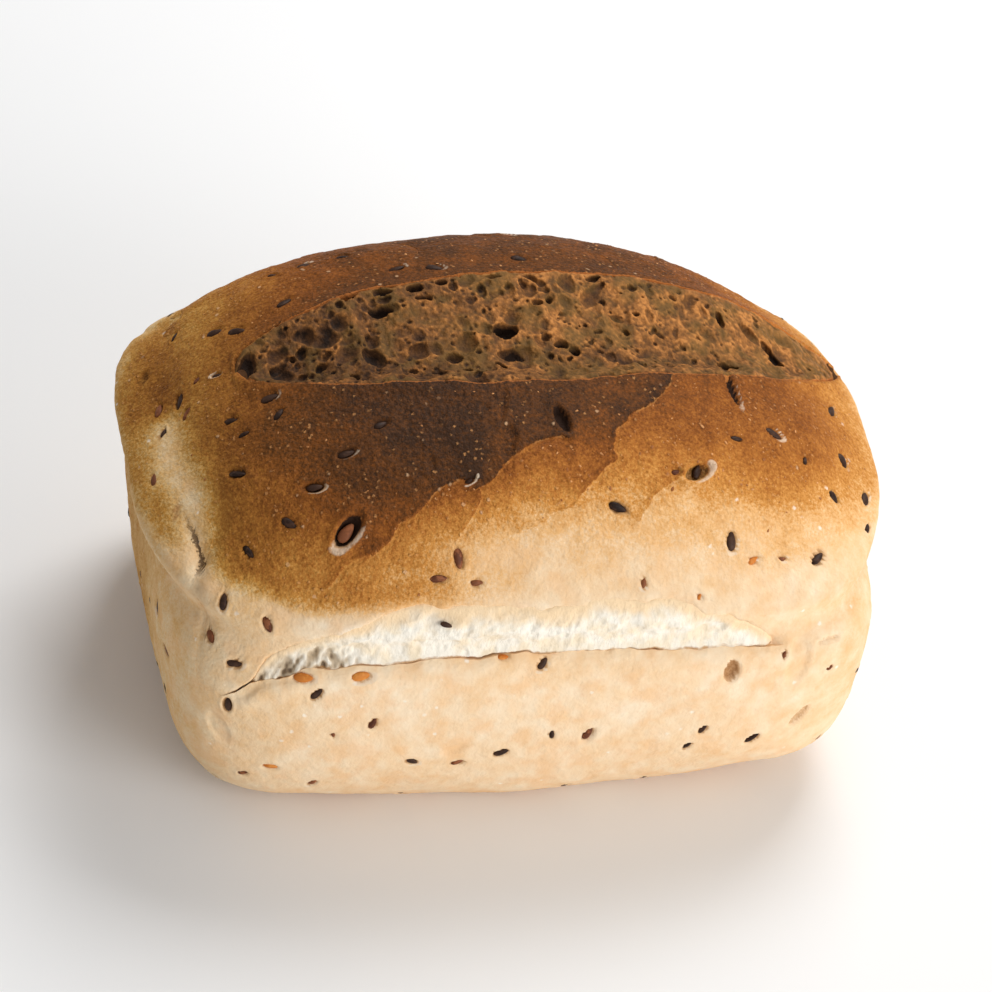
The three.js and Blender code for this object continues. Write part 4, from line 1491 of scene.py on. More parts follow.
class CrustSurface:
    """One piece of crust with its relief and the values that its finish reads."""

    SEED_PIT_DEPTH = 0.65
    SEED_PIT_RIM = 0.2
    FARTHEST = 3.0
    ROUGHNESS = 0.26
    ROUGH_SIZE = 6.0
    PALE_GRAIN = 0.03
    BROWN_GRAIN = 0.09
    GRAIN_SIZE = 1.7
    PLATE_CREASE = 0.12
    FAR_PLATE = 27.0
    FAR_STEP = 0.4
    FAR_BAKE = 0.11

    def __init__(self, crust: Crust, name: str) -> None:
        """Args:
            crust: the laid-out crust.
            name: "crown" or "tin".
        """
        self.form = crust.form
        self.name = name
        builder = crust.crown if name == "crown" else crust.tin
        self.bare = builder.points
        self.faces = builder.quads
        self.sharp = crust.sharp[name]
        self.outer = np.ones(len(self.bare), bool)
        self.outer[crust.inner[name]] = False
        self.out = np.zeros(self.bare.shape)
        self.out[self.outer] = self.form.normal(self.bare[self.outer])
        self.on_base = (self.bare[:, 2] <= 1e-6) & self.outer
        self.relief = np.zeros(len(self.bare))
        self.hollow = np.zeros(len(self.bare))
        self.scar = np.zeros(len(self.bare))
        self.bake = np.zeros(len(self.bare))
        self.plate_side = np.full(len(self.bare), -self.FARTHEST)
        self.plate_near = np.zeros(len(self.bare))

    def smooth_points(self, shift: Array) -> Array:
        """Points with the main relief only, for finding places on the crust."""
        p = self.bare[self.outer]
        relief = self.form.dough_relief(p) + self.form.slash_relief(p, 0.0) + self.form.seam_relief(p, 0.0)
        points = self.bare.copy()
        points[self.outer] += self.out[self.outer] * relief[:, None]
        points[self.on_base, 2] = 0.0
        return points + shift

    def shape(self, shift: Array, camera: PhotoCamera, marks: Iterable[tuple[Mark, Dent]],
              seeds: Iterable[Seed]) -> Array:
        """Adds all relief.

        Args:
            shift: from form coordinates to the frame's.
            camera: the photograph's camera.
            marks: the photograph's pits.
            seeds: the seeds, each of which gets a pit.

        Returns:
            The finished points in centred millimetres.
        """
        form = self.form
        p = self.bare
        relief = form.dough_relief(p) + form.slash_relief(p, Crust.HIDDEN_SLASH)
        relief = relief + form.seam_relief(p, Crust.HIDDEN_SEAM, 1 if self.name == "crown" else -1)
        above_base = smooth(p[:, 2] / 6)
        browned = smooth((bake_of(form, p) - 0.15) / 0.3)
        grain = (self.PALE_GRAIN + self.BROWN_GRAIN * browned) * Unevenness(14, self.GRAIN_SIZE)(p)
        relief += above_base * (self.ROUGHNESS * layered(p, 13, self.ROUGH_SIZE, 3) + grain)
        relief -= form.split_depth(p)
        self.bake = bake_of(form, p)
        self._plates(p + shift + self.out * relief[:, None], camera, relief)
        self._far_plates(p, relief)
        points = p + shift
        for mark, dent in marks:
            self._press(points, relief, mark, dent.pit, dent.pit.rim)
        for seed in seeds:
            pit = Pit(seed.long, seed.wide, self.SEED_PIT_DEPTH, seed.kind.pit_dark, self.SEED_PIT_RIM)
            self._press(points, relief, seed.mark, pit, float(np.clip(4 * seed.tone - 0.7, 0, 1)))
        self.relief = relief * self.outer
        moved = points + self.out * self.relief[:, None]
        moved[self.on_base, 2] = 0.0
        return moved

    def _plates(self, points: Array, camera: PhotoCamera, relief: Array) -> None:
        """Steps where browner skin ends, on the side that the photograph shows."""
        right, up, back = (np.array(axis) for axis in camera.axes)
        away = points - np.array(camera.place) / MM
        ahead = -(away @ back)
        px = PHOTO_SIDE / 2 + camera.focal * (away @ right) / ahead
        py = PHOTO_SIDE / 2 - camera.focal * (away @ up) / ahead
        seen = (np.einsum("ij,ij->i", self.out, -away) > 0) & (points[:, 1] < 10) & (points[:, 2] > 70)
        wander = 1.6 * layered(points, 57, 3.0, 2)
        scale = camera.focal * MM / camera.distance
        for edge in PLATE_EDGES:
            side, beyond = signed_distance(px[seen], py[seen], edge.run)
            side = side / scale + wander[seen] * 0.35
            near = bell(np.maximum(beyond / scale, 0) / 2.5)
            rise = smooth((side + 0.3) / 0.6) * np.exp(-np.maximum(side, 0) / edge.reach) * near
            relief[seen] += edge.step * rise - self.PLATE_CREASE * bell((side + 0.5) / 0.5) * near
            self.bake[seen] += edge.bake * rise
            self._keep_plate(seen, side, near * min(1.0, edge.step / 0.4))

    def _keep_plate(self, which: Array, side: Array, near: Array) -> None:
        """Keeps the distance to the nearest plate edge, which the finish draws sharply."""
        near = bell(side / 1.1) * near
        closer = near > self.plate_near[which]
        self.plate_side[which] = np.where(closer, self._held(side), self.plate_side[which])
        self.plate_near[which] = np.where(closer, near, self.plate_near[which])

    def _far_plates(self, p: Array, relief: Array) -> None:
        """The same kind of steps, by rule, on the back and the right end."""
        y, z = p[:, 1], p[:, 2]
        there = smooth((y - 30) / 12) * smooth((z - 76) / 8) * smooth((112 - z) / 8)
        run = (p[:, 0] - 1.1 * (z - 78)) / self.FAR_PLATE + 0.9 * layered(p, 61, 24.0, 4)
        ramp = run - np.floor(run)
        step = smooth(ramp / 0.06) * (1 - ramp)
        there = there * smooth(0.5 + 2.5 * layered(p, 63, 16.0, 2))
        relief += there * self.FAR_STEP * step
        self.bake += there * self.FAR_BAKE * (step - 0.4)
        side = (ramp - (ramp > 0.5)) * 22.0
        self._keep_plate(np.ones(len(p), bool), side, there)

    def _held(self, side: Array) -> Array:
        """Signed distances, held to those that the finish tells apart."""
        return np.clip(side, -self.FARTHEST, self.FARTHEST)

    def _press(self, points: Array, relief: Array, mark: Mark, pit: Pit, scar: float) -> None:
        """Presses one pit with a raised rim into the crust.

        Args:
            points: the crust's points.
            relief: the crust's relief, which is changed.
            mark: where the pit lies.
            pit: its sizes and looks.
            scar: how pale its torn rim and painted highlight are on its lower side.
        """
        long, wide = pit.long / 2, pit.wide / 2
        near = np.linalg.norm(points - mark.at, axis=1) < 2.2 * max(long, wide) + 1.5
        if not near.any():
            return
        u, v = mark.local(points[near])
        away = np.hypot(u / (long + 0.1), v / (wide + 0.1))
        relief[near] -= pit.depth * smooth((1.2 - away) / 0.5)
        relief[near] += pit.rim * bell((away - 1.45) / 0.3)
        # Painted shade inside the pit.
        self.hollow[near] = np.maximum(self.hollow[near], pit.dark * smooth((1.2 - away) / 0.3))
        # A pale torn rim and a painted highlight on the pit's lower side, leaning towards the loaf's right
        # end.
        lower = -(points[near, 2] - mark.at[2]) / (long + wide) + (points[near, 0] - mark.at[0]) / (3 * long)
        torn = scar * smooth((lower + 0.1) / 0.4) * bell((away - 1.3) / 0.35)
        self.scar[near] = np.maximum(self.scar[near], torn)

    def values(self) -> dict[str, Array]:
        """The values that the finish reads."""
        form, p = self.form, self.bare
        along, front, back = form.slash.lips(p[:, 0])
        outside = np.maximum(front - p[:, 1], p[:, 1] - back)
        tip = 2.5 * smooth((0.1 - along) / 0.08)
        by_slash = (along > 0) & (along < 1) & (p[:, 2] > form.slash.lowest)
        x, y = p[:, 0], p[:, 1]
        up = p[:, 2] - form.seam_height(x, y)
        over = up - form.seam_opening(x, y)
        white = smooth(6 * form.seam_torn(x, y)) * smooth((0.4 - over + 3.5 * layered(p, 91, 8.0, 3)) / 5.0)
        white = 0.7 * white * (self.name == "crown")
        split_side, split_open = form.split_side(p)
        return {
            "bake": np.clip(self.bake, 0, 1.1),
            "lip_side": np.where(by_slash, self._held(outside + tip), self.FARTHEST),
            "torn": np.clip(white, 0, 1),
            # Painted shade of the pits.
            "hollow": np.clip(self.hollow, 0, 1),
            # Pale torn rims and painted highlights of the pits.
            "scar": np.clip(self.scar, 0, 1),
            "plate_side": self.plate_side,
            "plate_near": self.plate_near,
            "split_side": self._held(split_side),
            "split_open": split_open,
            "end_light": smooth((-42 - x) / 42),
        }


def signed_distance(px: Array, py: Array, run: Sequence[tuple[float, float]]) -> tuple[Array, Array]:
    """Distance in pixels to a drawn line.

    Args:
        px: pixels across.
        py: pixels down.
        run: the line's points.

    Returns:
        The distance, positive on the line's left in the picture, and the distance beyond
        the line's ends, 0 beside it.
    """
    best = np.full(px.shape, 1e9)
    side = np.zeros(px.shape)
    beyond = np.zeros(px.shape)
    last = len(run) - 2
    for index, ((x0, y0), (x1, y1)) in enumerate(zip(run[:-1], run[1:])):
        dx, dy = x1 - x0, y1 - y0
        length = math.hypot(dx, dy)
        share = ((px - x0) * dx + (py - y0) * dy) / length**2
        held = np.clip(share, 0, 1)
        gap = np.hypot(px - x0 - held * dx, py - y0 - held * dy)
        turn = -((px - x0) * dy - (py - y0) * dx)
        closer = gap < best
        best = np.where(closer, gap, best)
        side = np.where(closer, np.where(turn > 0, -1.0, 1.0), side)
        past = np.where((index == 0) & (share < 0), -share * length, 0.0)
        past = np.where((index == last) & (share > 1), (share - 1) * length, past)
        beyond = np.where(closer, past, beyond)
    return best * side, beyond


@dataclass(frozen=True)
class Oven:
    """How the oven browned the loaf: places in mm of the form, and shares from 0 to 1.

    The lower crown blushes just above the seam, most towards the left, and the top browns
    above a height that falls towards both ends. Names that end in "over" are the lengths in
    which a change happens.
    """

    behind_from: float = 14.0
    behind_over: float = 24.0
    far_left_from: float = -78.0
    far_left_over: float = 12.0
    cloud_size: float = 20.0
    blush_from: float = 70.5
    blush_over: float = 9.0
    blush_least: float = 0.13
    blush_left: float = 0.44
    blush_left_from: float = 2.0
    blush_left_over: float = 70.0
    blush_right: float = 0.10
    blush_right_from: float = 30.0
    blush_right_over: float = 45.0
    blush_up: float = 0.12
    blush_up_from: float = 79.0
    blush_up_over: float = 13.0
    blush_fades: float = 0.35
    blush_behind: float = 0.34
    crest_height: float = 102.5
    crest_at: float = 15.0
    fall_left: float = 0.132
    fall_right: float = 0.0036
    spread: float = 24.0
    front_most: float = 0.86
    darkest_at: float = -48.0
    darkest_reach: float = 24.0
    back_height: float = 92.0
    back_most: float = 0.72
    left_most: float = 0.54
    left_from: float = -60.0
    left_over: float = 22.0
    left_drop: float = 14.0
    corner_at: float = -90.0
    corner_shift: float = 3.5
    corner_reach: float = 6.0
    corner_pale: float = 0.66
    tin_bake: float = 0.10
    tin_end_bake: float = 0.13
    foot_bake: float = 0.10
    foot_high: float = 9.0
    sole_bake: float = 0.30
    sole_high: float = 1.5


OVEN = Oven()


def bake_of(form: LoafForm, p: Array) -> Array:
    """How brown the crust is at points of the form, from 0 to 1."""
    oven = OVEN
    x, y, z = p[:, 0], p[:, 1], p[:, 2]
    left = np.where(x < 0, form.end_share(x, y), 0.0)
    right = np.where(x > 0, form.end_share(x, y), 0.0)
    behind = smooth((y - oven.behind_from) / oven.behind_over)
    far_left = smooth((oven.far_left_from - x) / oven.far_left_over) * smooth((y + 28) / 24)
    cloudy = layered(p, 19, oven.cloud_size, 3)
    to_left = smooth((oven.blush_left_from - x) / oven.blush_left_over)
    to_right = smooth((x - oven.blush_right_from) / oven.blush_right_over)
    blush = oven.blush_least + oven.blush_left * to_left + oven.blush_right * to_right
    up = smooth((z - oven.blush_up_from) / oven.blush_up_over)
    blush = blush + oven.blush_up * up * smooth((x + 25) / 40)
    blush = blush * (1 - oven.blush_fades * smooth((y + 25) / 30))
    blush = mix(blush, oven.blush_behind, behind) * (1 + 0.3 * cloudy)
    lower = blush * smooth((z - oven.blush_from - 3.5 * cloudy) / oven.blush_over)
    past = x - oven.crest_at
    front = oven.crest_height - np.where(past < 0, -oven.fall_left * past, oven.fall_right * past**2)
    half = mix(front, np.minimum(front, oven.back_height), behind) + 2.5 * cloudy - oven.left_drop * far_left
    most = oven.front_most + (1 - oven.front_most) * bell((x - oven.darkest_at) / oven.darkest_reach)
    most = mix(most, oven.back_most, behind)
    at_left = np.maximum(left, smooth((oven.left_from - x) / oven.left_over))
    most = most - (1 - oven.left_most) * at_left
    upper = smooth((z - half) / oven.spread + 0.5) * most
    crown = lower + (1 - lower) * upper
    corner_at = oven.corner_at + oven.corner_shift * smooth((-10 - y) / 20)
    corner = bell((x - corner_at) / oven.corner_reach) * smooth((12 - y) / 14) * smooth((z - 50) / 20)
    crown = crown * (1 - oven.corner_pale * corner)
    foot = oven.foot_bake * smooth((oven.foot_high - z) / oven.foot_high)
    foot = foot + oven.sole_bake * smooth((oven.sole_high - z) / oven.sole_high)
    ends = oven.tin_end_bake * (left + 0.5 * right) * (1 + 0.8 * far_left)
    tin = oven.tin_bake + ends + foot + 0.05 * cloudy
    return np.maximum(crown, tin * (1 - 0.3 * corner))


# ---- Crumb ---------------------------------------------------------------------


@dataclass(frozen=True)
class GreatPore:
    """A large bubble that shows in the slash, by pixel, with sizes in mm."""

    px: float
    py: float
    long: float
    wide: float
    turn: float
    deep: float


GREAT_PORES = tuple(GreatPore(*row) for row in (
    (247, 370, 4.9, 2.6, 72, 3.4), (504, 338, 3.3, 2.9, 10, 3.6), (513, 362, 3.6, 2.2, -14, 2.6),
    (770, 355, 4.6, 1.3, -48, 2.2), (776, 364, 2.2, 1.6, -30, 2.4), (348, 297, 2.4, 1.6, 30, 2.4),
    (381, 300, 2.6, 1.8, 4, 2.2), (381, 317, 3.4, 1.6, 0, 2.6), (415, 297, 2.5, 1.7, 4, 2.4),
    (423, 308, 2.3, 1.2, 8, 2.0), (441, 291, 1.4, 1.4, 0, 2.0), (324, 348, 3.8, 2.8, 10, 1.6),
    (372, 366, 4.2, 2.2, -30, 2.0), (276, 372, 2.6, 1.6, 40, 1.8), (418, 360, 3.0, 2.6, 0, 1.5),
    (453, 364, 2.4, 2.2, 0, 1.8), (438, 375, 1.6, 1.3, 0, 1.8), (559, 351, 2.0, 1.6, 0, 2.2),
    (573, 357, 1.8, 1.8, 0, 2.0), (592, 285, 2.0, 1.2, 10, 1.8), (601, 308, 1.6, 1.3, -60, 1.8),
    (548, 308, 1.2, 1.1, 0, 1.6), (536, 311, 1.6, 1.0, 0, 1.4), (630, 297, 1.8, 1.6, 0, 1.8),
    (641, 295, 1.0, 1.3, 0, 1.5), (634, 322, 1.0, 0.8, 0, 1.4), (717, 326, 2.8, 1.0, -68, 2.2),
    (727, 369, 4.0, 1.3, -8, 2.2), (642, 376, 2.4, 1.0, 4, 1.8), (660, 344, 2.2, 1.0, -20, 1.2),
    (492, 285, 2.4, 1.2, 0, 1.6), (530, 287, 2.6, 1.2, -20, 1.8), (500, 371, 2.0, 1.2, -10, 2.4),
))


@dataclass(frozen=True)
class Bubbles:
    """A spread of small bubbles over part of the slash."""

    count: int
    small: float
    large: float
    along: tuple[float, float]
    across: tuple[float, float]
    sunk: float
    stretch: float


BUBBLES = (
    Bubbles(96, 1.1, 3.6, (0.06, 0.62), (0.02, 0.94), -0.88, 1.4),
    Bubbles(34, 1.2, 3.2, (0.55, 0.98), (0.02, 0.94), -0.92, 2.4),
    Bubbles(72, 0.6, 1.4, (0.07, 0.48), (0.04, 0.96), -0.1, 1.3),
    Bubbles(30, 0.5, 1.1, (0.45, 0.74), (0.04, 0.96), 0.0, 1.5),
    Bubbles(10, 0.45, 1.0, (0.70, 0.97), (0.05, 0.95), 0.0, 1.8),
    Bubbles(30, 0.7, 1.3, (0.12, 0.95), (0.80, 0.95), -0.1, 1.3),
    Bubbles(420, 0.4, 0.65, (0.04, 0.80), (0.0, 1.0), -0.2, 1.3),
)


class SlashCrumb:
    """The open, toasted crumb in the slash, carved by bubbles out of a sheet of dough."""

    VOXEL = 0.42
    THICK = 4.0
    OVERLAP = 2.0
    STEP = -0.7
    SEED = 7
    UNEVEN_WITHIN = 3.5
    ROUGH_SIZE = 2.8
    ROUGHNESS = 0.55
    GRAIN_SIZE = 1.0
    GRAIN = 0.3
    LUMP_SIZE = 9.0
    LUMP_HEIGHT = 1.3
    WEB_SIZE = 5.5
    WEB_HEIGHT = 0.7
    WARP_SIZE = 4.5
    WARP = 1.2
    SHARE_OF_CUT = 0.86
    SLOPE_OUT = 1.6
    CRUST_ABOVE = 1.4
    FRONT = -27.0
    BACK = 32.0

    def __init__(self, form: LoafForm, finder: Finder, shift: Array) -> None:
        """Args:
            form: the loaf.
            finder: finds pixels on the crust.
            shift: from form coordinates to the frame's.
        """
        self.form = form
        self.finder = finder
        self.shift = shift
        cut = form.slash
        self.low = np.array([cut.left[0] - 1.0, self.FRONT, -(cut.depth + cut.step + self.THICK)])
        high = np.array([cut.right[0] + 1.0, self.BACK, self.CRUST_ABOVE])
        self.count = np.ceil((high - self.low) / self.VOXEL).astype(int)
        self.axes = [self.low[k] + self.VOXEL * np.arange(self.count[k]) for k in range(3)]
        self.warp: list[Array] = []

    def _floor(self, along: Array, across: Array) -> Array:
        """The sheet's depth by its place in the slash, almost flush at the back lip."""
        cut = self.form.slash
        rise = smooth((across - cut.deepest) / (1 - cut.deepest))
        fall = np.where(across < cut.deepest, smooth(across / cut.deepest + 0.12), 1 - rise)
        ends = smooth(along / 0.08) * smooth((1 - along) / 0.25)
        return cut.depth * self.SHARE_OF_CUT * fall * ends + self.STEP

    def _sheet(self) -> tuple[Array, Array, Array]:
        """Height of the crust over the slash, the sheet's depth, and distance to the lips."""
        form, cut = self.form, self.form.slash
        grid_x, grid_y = np.meshgrid(*self.axes[:2], indexing="ij")
        crust = form.over(grid_x, grid_y)
        flat = np.stack([grid_x, grid_y, crust], axis=-1)
        crust = crust + form.dough_relief(flat.reshape(-1, 3)).reshape(crust.shape)
        along, front, back = cut.lips(grid_x)
        outside = np.maximum(front - grid_y, grid_y - back)
        across = np.clip((grid_y - front) / np.maximum(back - front, 1e-6), 0, 1)
        dive = 1.2 * (1 - smooth(along / 0.02)) + 1.2 * (1 - smooth((1 - along) / 0.02))
        depth = self._floor(along, across) + dive + self.SLOPE_OUT * np.maximum(outside + 0.1, 0)
        lumps = layered(flat, 23, self.LUMP_SIZE, 4, (1.0, 1.4, 1.0)) * self.LUMP_HEIGHT
        webs = 1 - 2.4 * np.abs(layered(flat, 41, self.WEB_SIZE, 3, (1.0, 1.8, 1.0)))
        depth = depth + lumps * smooth(-outside / 4.0) - self.WEB_HEIGHT * webs * smooth(-outside / 1.5)
        self.warp = [self.WARP * layered(flat, 47 + axis, self.WARP_SIZE, 3) for axis in range(2)]
        return crust, depth, outside

    def build(self, material: bpy.types.Material) -> bpy.types.Object:
        """The finished piece."""
        crust, depth, outside = self._sheet()
        w = self.axes[2]
        level = w + depth[:, :, None]
        body = level.copy()
        near = np.abs(level) < self.UNEVEN_WITHIN
        places = np.stack(np.meshgrid(*self.axes, indexing="ij"), axis=-1)[near]
        grain = self.GRAIN * Unevenness(37, self.GRAIN_SIZE)(places)
        body[near] += self.ROUGHNESS * layered(places, 29, self.ROUGH_SIZE, 3) + grain
        for centre, radii, turn in self._all_bubbles(depth):
            self._carve(body, centre, radii, turn)
        body = np.maximum(body, (outside - self.OVERLAP)[:, :, None])
        body = np.maximum(body, (self.low[2] + 2 * self.VOXEL) - w)
        for axis, width in ((0, 2), (1, 2), (2, 1)):
            edge = np.moveaxis(body, axis, 0)
            edge[:width] = np.maximum(edge[:width], self.VOXEL)
            edge[-width:] = np.maximum(edge[-width:], self.VOXEL)
        points, faces = polygons(body)
        i = np.clip(points[:, 0], 0, self.count[0] - 1.001)
        j = np.clip(points[:, 1], 0, self.count[1] - 1.001)
        high, sheet, near_lip = (lookup(grid, i, j) for grid in (crust, depth, outside))
        local = self.low + points * self.VOXEL
        below = -(local[:, 2] + sheet)
        local[:, 2] += high
        # Painted shade that grows with depth below the sheet, and painted highlights on the web crests where
        # points stand out.
        sunk = 0.06 + below / 5.0 + 0.5 * smooth((below - 1.7) / 1.2)
        values = {
            "depth": np.clip(sunk + self._shade(local) - 1.25 * ridges(points, faces), 0, 1.3),
            "lip_side": np.clip(near_lip, -3, 3),
        }
        return mesh_object("crumb_slash", local + self.shift, faces, material, values)

    def _shade(self, p: Array) -> Array:
        """How much darker the crumb is: more on the left, less on the right, and painted shade in a band near
        the front lip.
        """
        along, front, back = self.form.slash.lips(p[:, 0])
        across = np.clip((p[:, 1] - front) / np.maximum(back - front, 1e-6), 0, 1)
        left, right = smooth((0.5 - along) / 0.4), smooth((along - 0.72) / 0.25)
        return 0.2 + 0.2 * left - 0.08 * right + 0.14 * bell((across - 0.2) / 0.2)

    def _all_bubbles(self, depth: Array) -> Iterable[tuple[Array, Array, float]]:
        """Every bubble's centre and radii in sheet coordinates, and turn."""
        random = np.random.default_rng(self.SEED)
        cut = self.form.slash
        for pore in GREAT_PORES:
            mark = self.finder.by_pixel(pore.px, pore.py, pore.turn)
            at = mark.at - self.shift
            turn = math.atan2(mark.along[1], mark.along[0])
            surface = self._depth_at(depth, at[0], at[1])
            centre = np.array([at[0], at[1], -surface - pore.deep * 0.1])
            yield centre, np.array([pore.long, pore.wide, pore.deep]), turn
        for spread in BUBBLES:
            for _ in range(spread.count):
                along = random.uniform(*spread.along)
                across = random.uniform(*spread.across)
                radius = spread.small + (spread.large - spread.small) * random.random() ** 2.2
                x = mix(cut.left[0], cut.right[0], along)
                _, front, back = cut.lips(np.array(x))
                y = mix(float(front), float(back), across)
                surface = self._depth_at(depth, x, y)
                sunk = radius * random.uniform(spread.sunk, spread.sunk + 0.35)
                turn = math.pi / 2 + random.normal(0, 0.5)
                yield (np.array([x, y, -surface - sunk]),
                       np.array([radius * spread.stretch, radius, radius * 1.1]), turn)

    def _depth_at(self, depth: Array, x: float, y: float) -> float:
        """The sheet's depth at a place."""
        i = int(np.clip((x - self.low[0]) / self.VOXEL, 0, self.count[0] - 1))
        j = int(np.clip((y - self.low[1]) / self.VOXEL, 0, self.count[1] - 1))
        return float(depth[i, j])

    def _carve(self, body: Array, centre: Array, radii: Array, turn: float) -> None:
        """Takes one bubble out of the sheet.

        Args:
            body: the sheet's field, which is changed.
            centre: the bubble's centre in sheet coordinates.
            radii: its radii along, across and upright.
            turn: its turn about the upright.
        """
        reach = float(radii.max()) + self.VOXEL + 1.0
        first = np.floor((centre - reach - self.low) / self.VOXEL).astype(int)
        last = np.ceil((centre + reach - self.low) / self.VOXEL).astype(int) + 1
        first, last = np.clip(first, 0, self.count), np.clip(last, 0, self.count)
        if (last <= first).any():
            return
        x, y, w = (self.axes[k][first[k]:last[k]] - centre[k] for k in range(3))
        plan = (slice(first[0], last[0]), slice(first[1], last[1]))
        bend = min(1.0, float(radii.min()) / 1.2)
        wx, wy = x[:, None] + bend * self.warp[0][plan], y[None, :] + bend * self.warp[1][plan]
        u = wx * math.cos(turn) + wy * math.sin(turn)
        v = wy * math.cos(turn) - wx * math.sin(turn)
        flat = (u / radii[0]) ** 2 + (v / radii[1]) ** 2
        away = np.sqrt(flat[:, :, None] + (w[None, None, :] / radii[2]) ** 2)
        window = tuple(slice(a, b) for a, b in zip(first, last))
        body[window] = np.maximum(body[window], (1 - away) * float(radii.min()))


def ridges(points: Array, faces: Array) -> Array:
    """How far points stand out from their neighbours, above 0 on an edge and below 0 in a dip.

    Args:
        points: a closed mesh's points.
        faces: its faces, with -1 for the missing corner of a triangle.

    Returns:
        One distance for each point, in the points' unit.
    """
    corners = np.where(faces < 0, faces[:, :1], faces)
    total, count, out = np.zeros(points.shape), np.zeros(len(points)), np.zeros(points.shape)
    a, b, c = (points[corners[:, k]] for k in range(3))
    normal = np.cross(b - a, c - a)
    volume = np.einsum("ij,ij->i", a, normal).sum()
    for k in range(4):
        for other in (corners[:, (k + 1) % 4], corners[:, (k + 3) % 4]):
            np.add.at(total, corners[:, k], points[other])
            np.add.at(count, corners[:, k], 1.0)
        np.add.at(out, corners[:, k], normal)
    mean = total / np.maximum(count, 1)[:, None]
    return np.einsum("ij,ij->i", points - mean, unit(out)) * math.copysign(1.0, volume)


def lookup(grid: Array, i: Array, j: Array) -> Array:
    """Values of a grid between its points."""
    a, b = np.floor(i).astype(int), np.floor(j).astype(int)
    u, v = i - a, j - b
    return (
        grid[a, b] * (1 - u) * (1 - v) + grid[a + 1, b] * u * (1 - v)
        + grid[a, b + 1] * (1 - u) * v + grid[a + 1, b + 1] * u * v
    )


def polygons(body: Array) -> tuple[Array, Array]:
    """The surface where a field on a grid is 0, its largest part only.

    Args:
        body: the field's values, above 0 outside.

    Returns:
        Points in grid steps, and faces with -1 for the missing corner of a triangle.
    """
    grid = openvdb.FloatGrid(4.0)
    grid.copyFromArray(body.astype(np.float32))
    points, triangles, quads = grid.convertToPolygons(0.0, 0.0)
    faces = quads.astype(np.int64)
    if len(triangles):
        padded = np.concatenate([triangles.astype(np.int64), np.full((len(triangles), 1), -1)], axis=1)
        faces = np.concatenate([faces, padded])
    label = np.arange(len(points))
    corners = np.where(faces < 0, faces[:, :1], faces)
    while True:
        lowest = label[corners].min(axis=1)
        fresh = label.copy()
        for k in range(4):
            np.minimum.at(fresh, corners[:, k], lowest)
        fresh = fresh[fresh]
        if (fresh == label).all():
            break
        label = fresh
    main = np.bincount(label).argmax()
    kept = label == main
    number = np.cumsum(kept) - 1
    faces = faces[kept[corners[:, 0]]]
    return points[kept].astype(float), np.where(faces < 0, -1, number[faces])


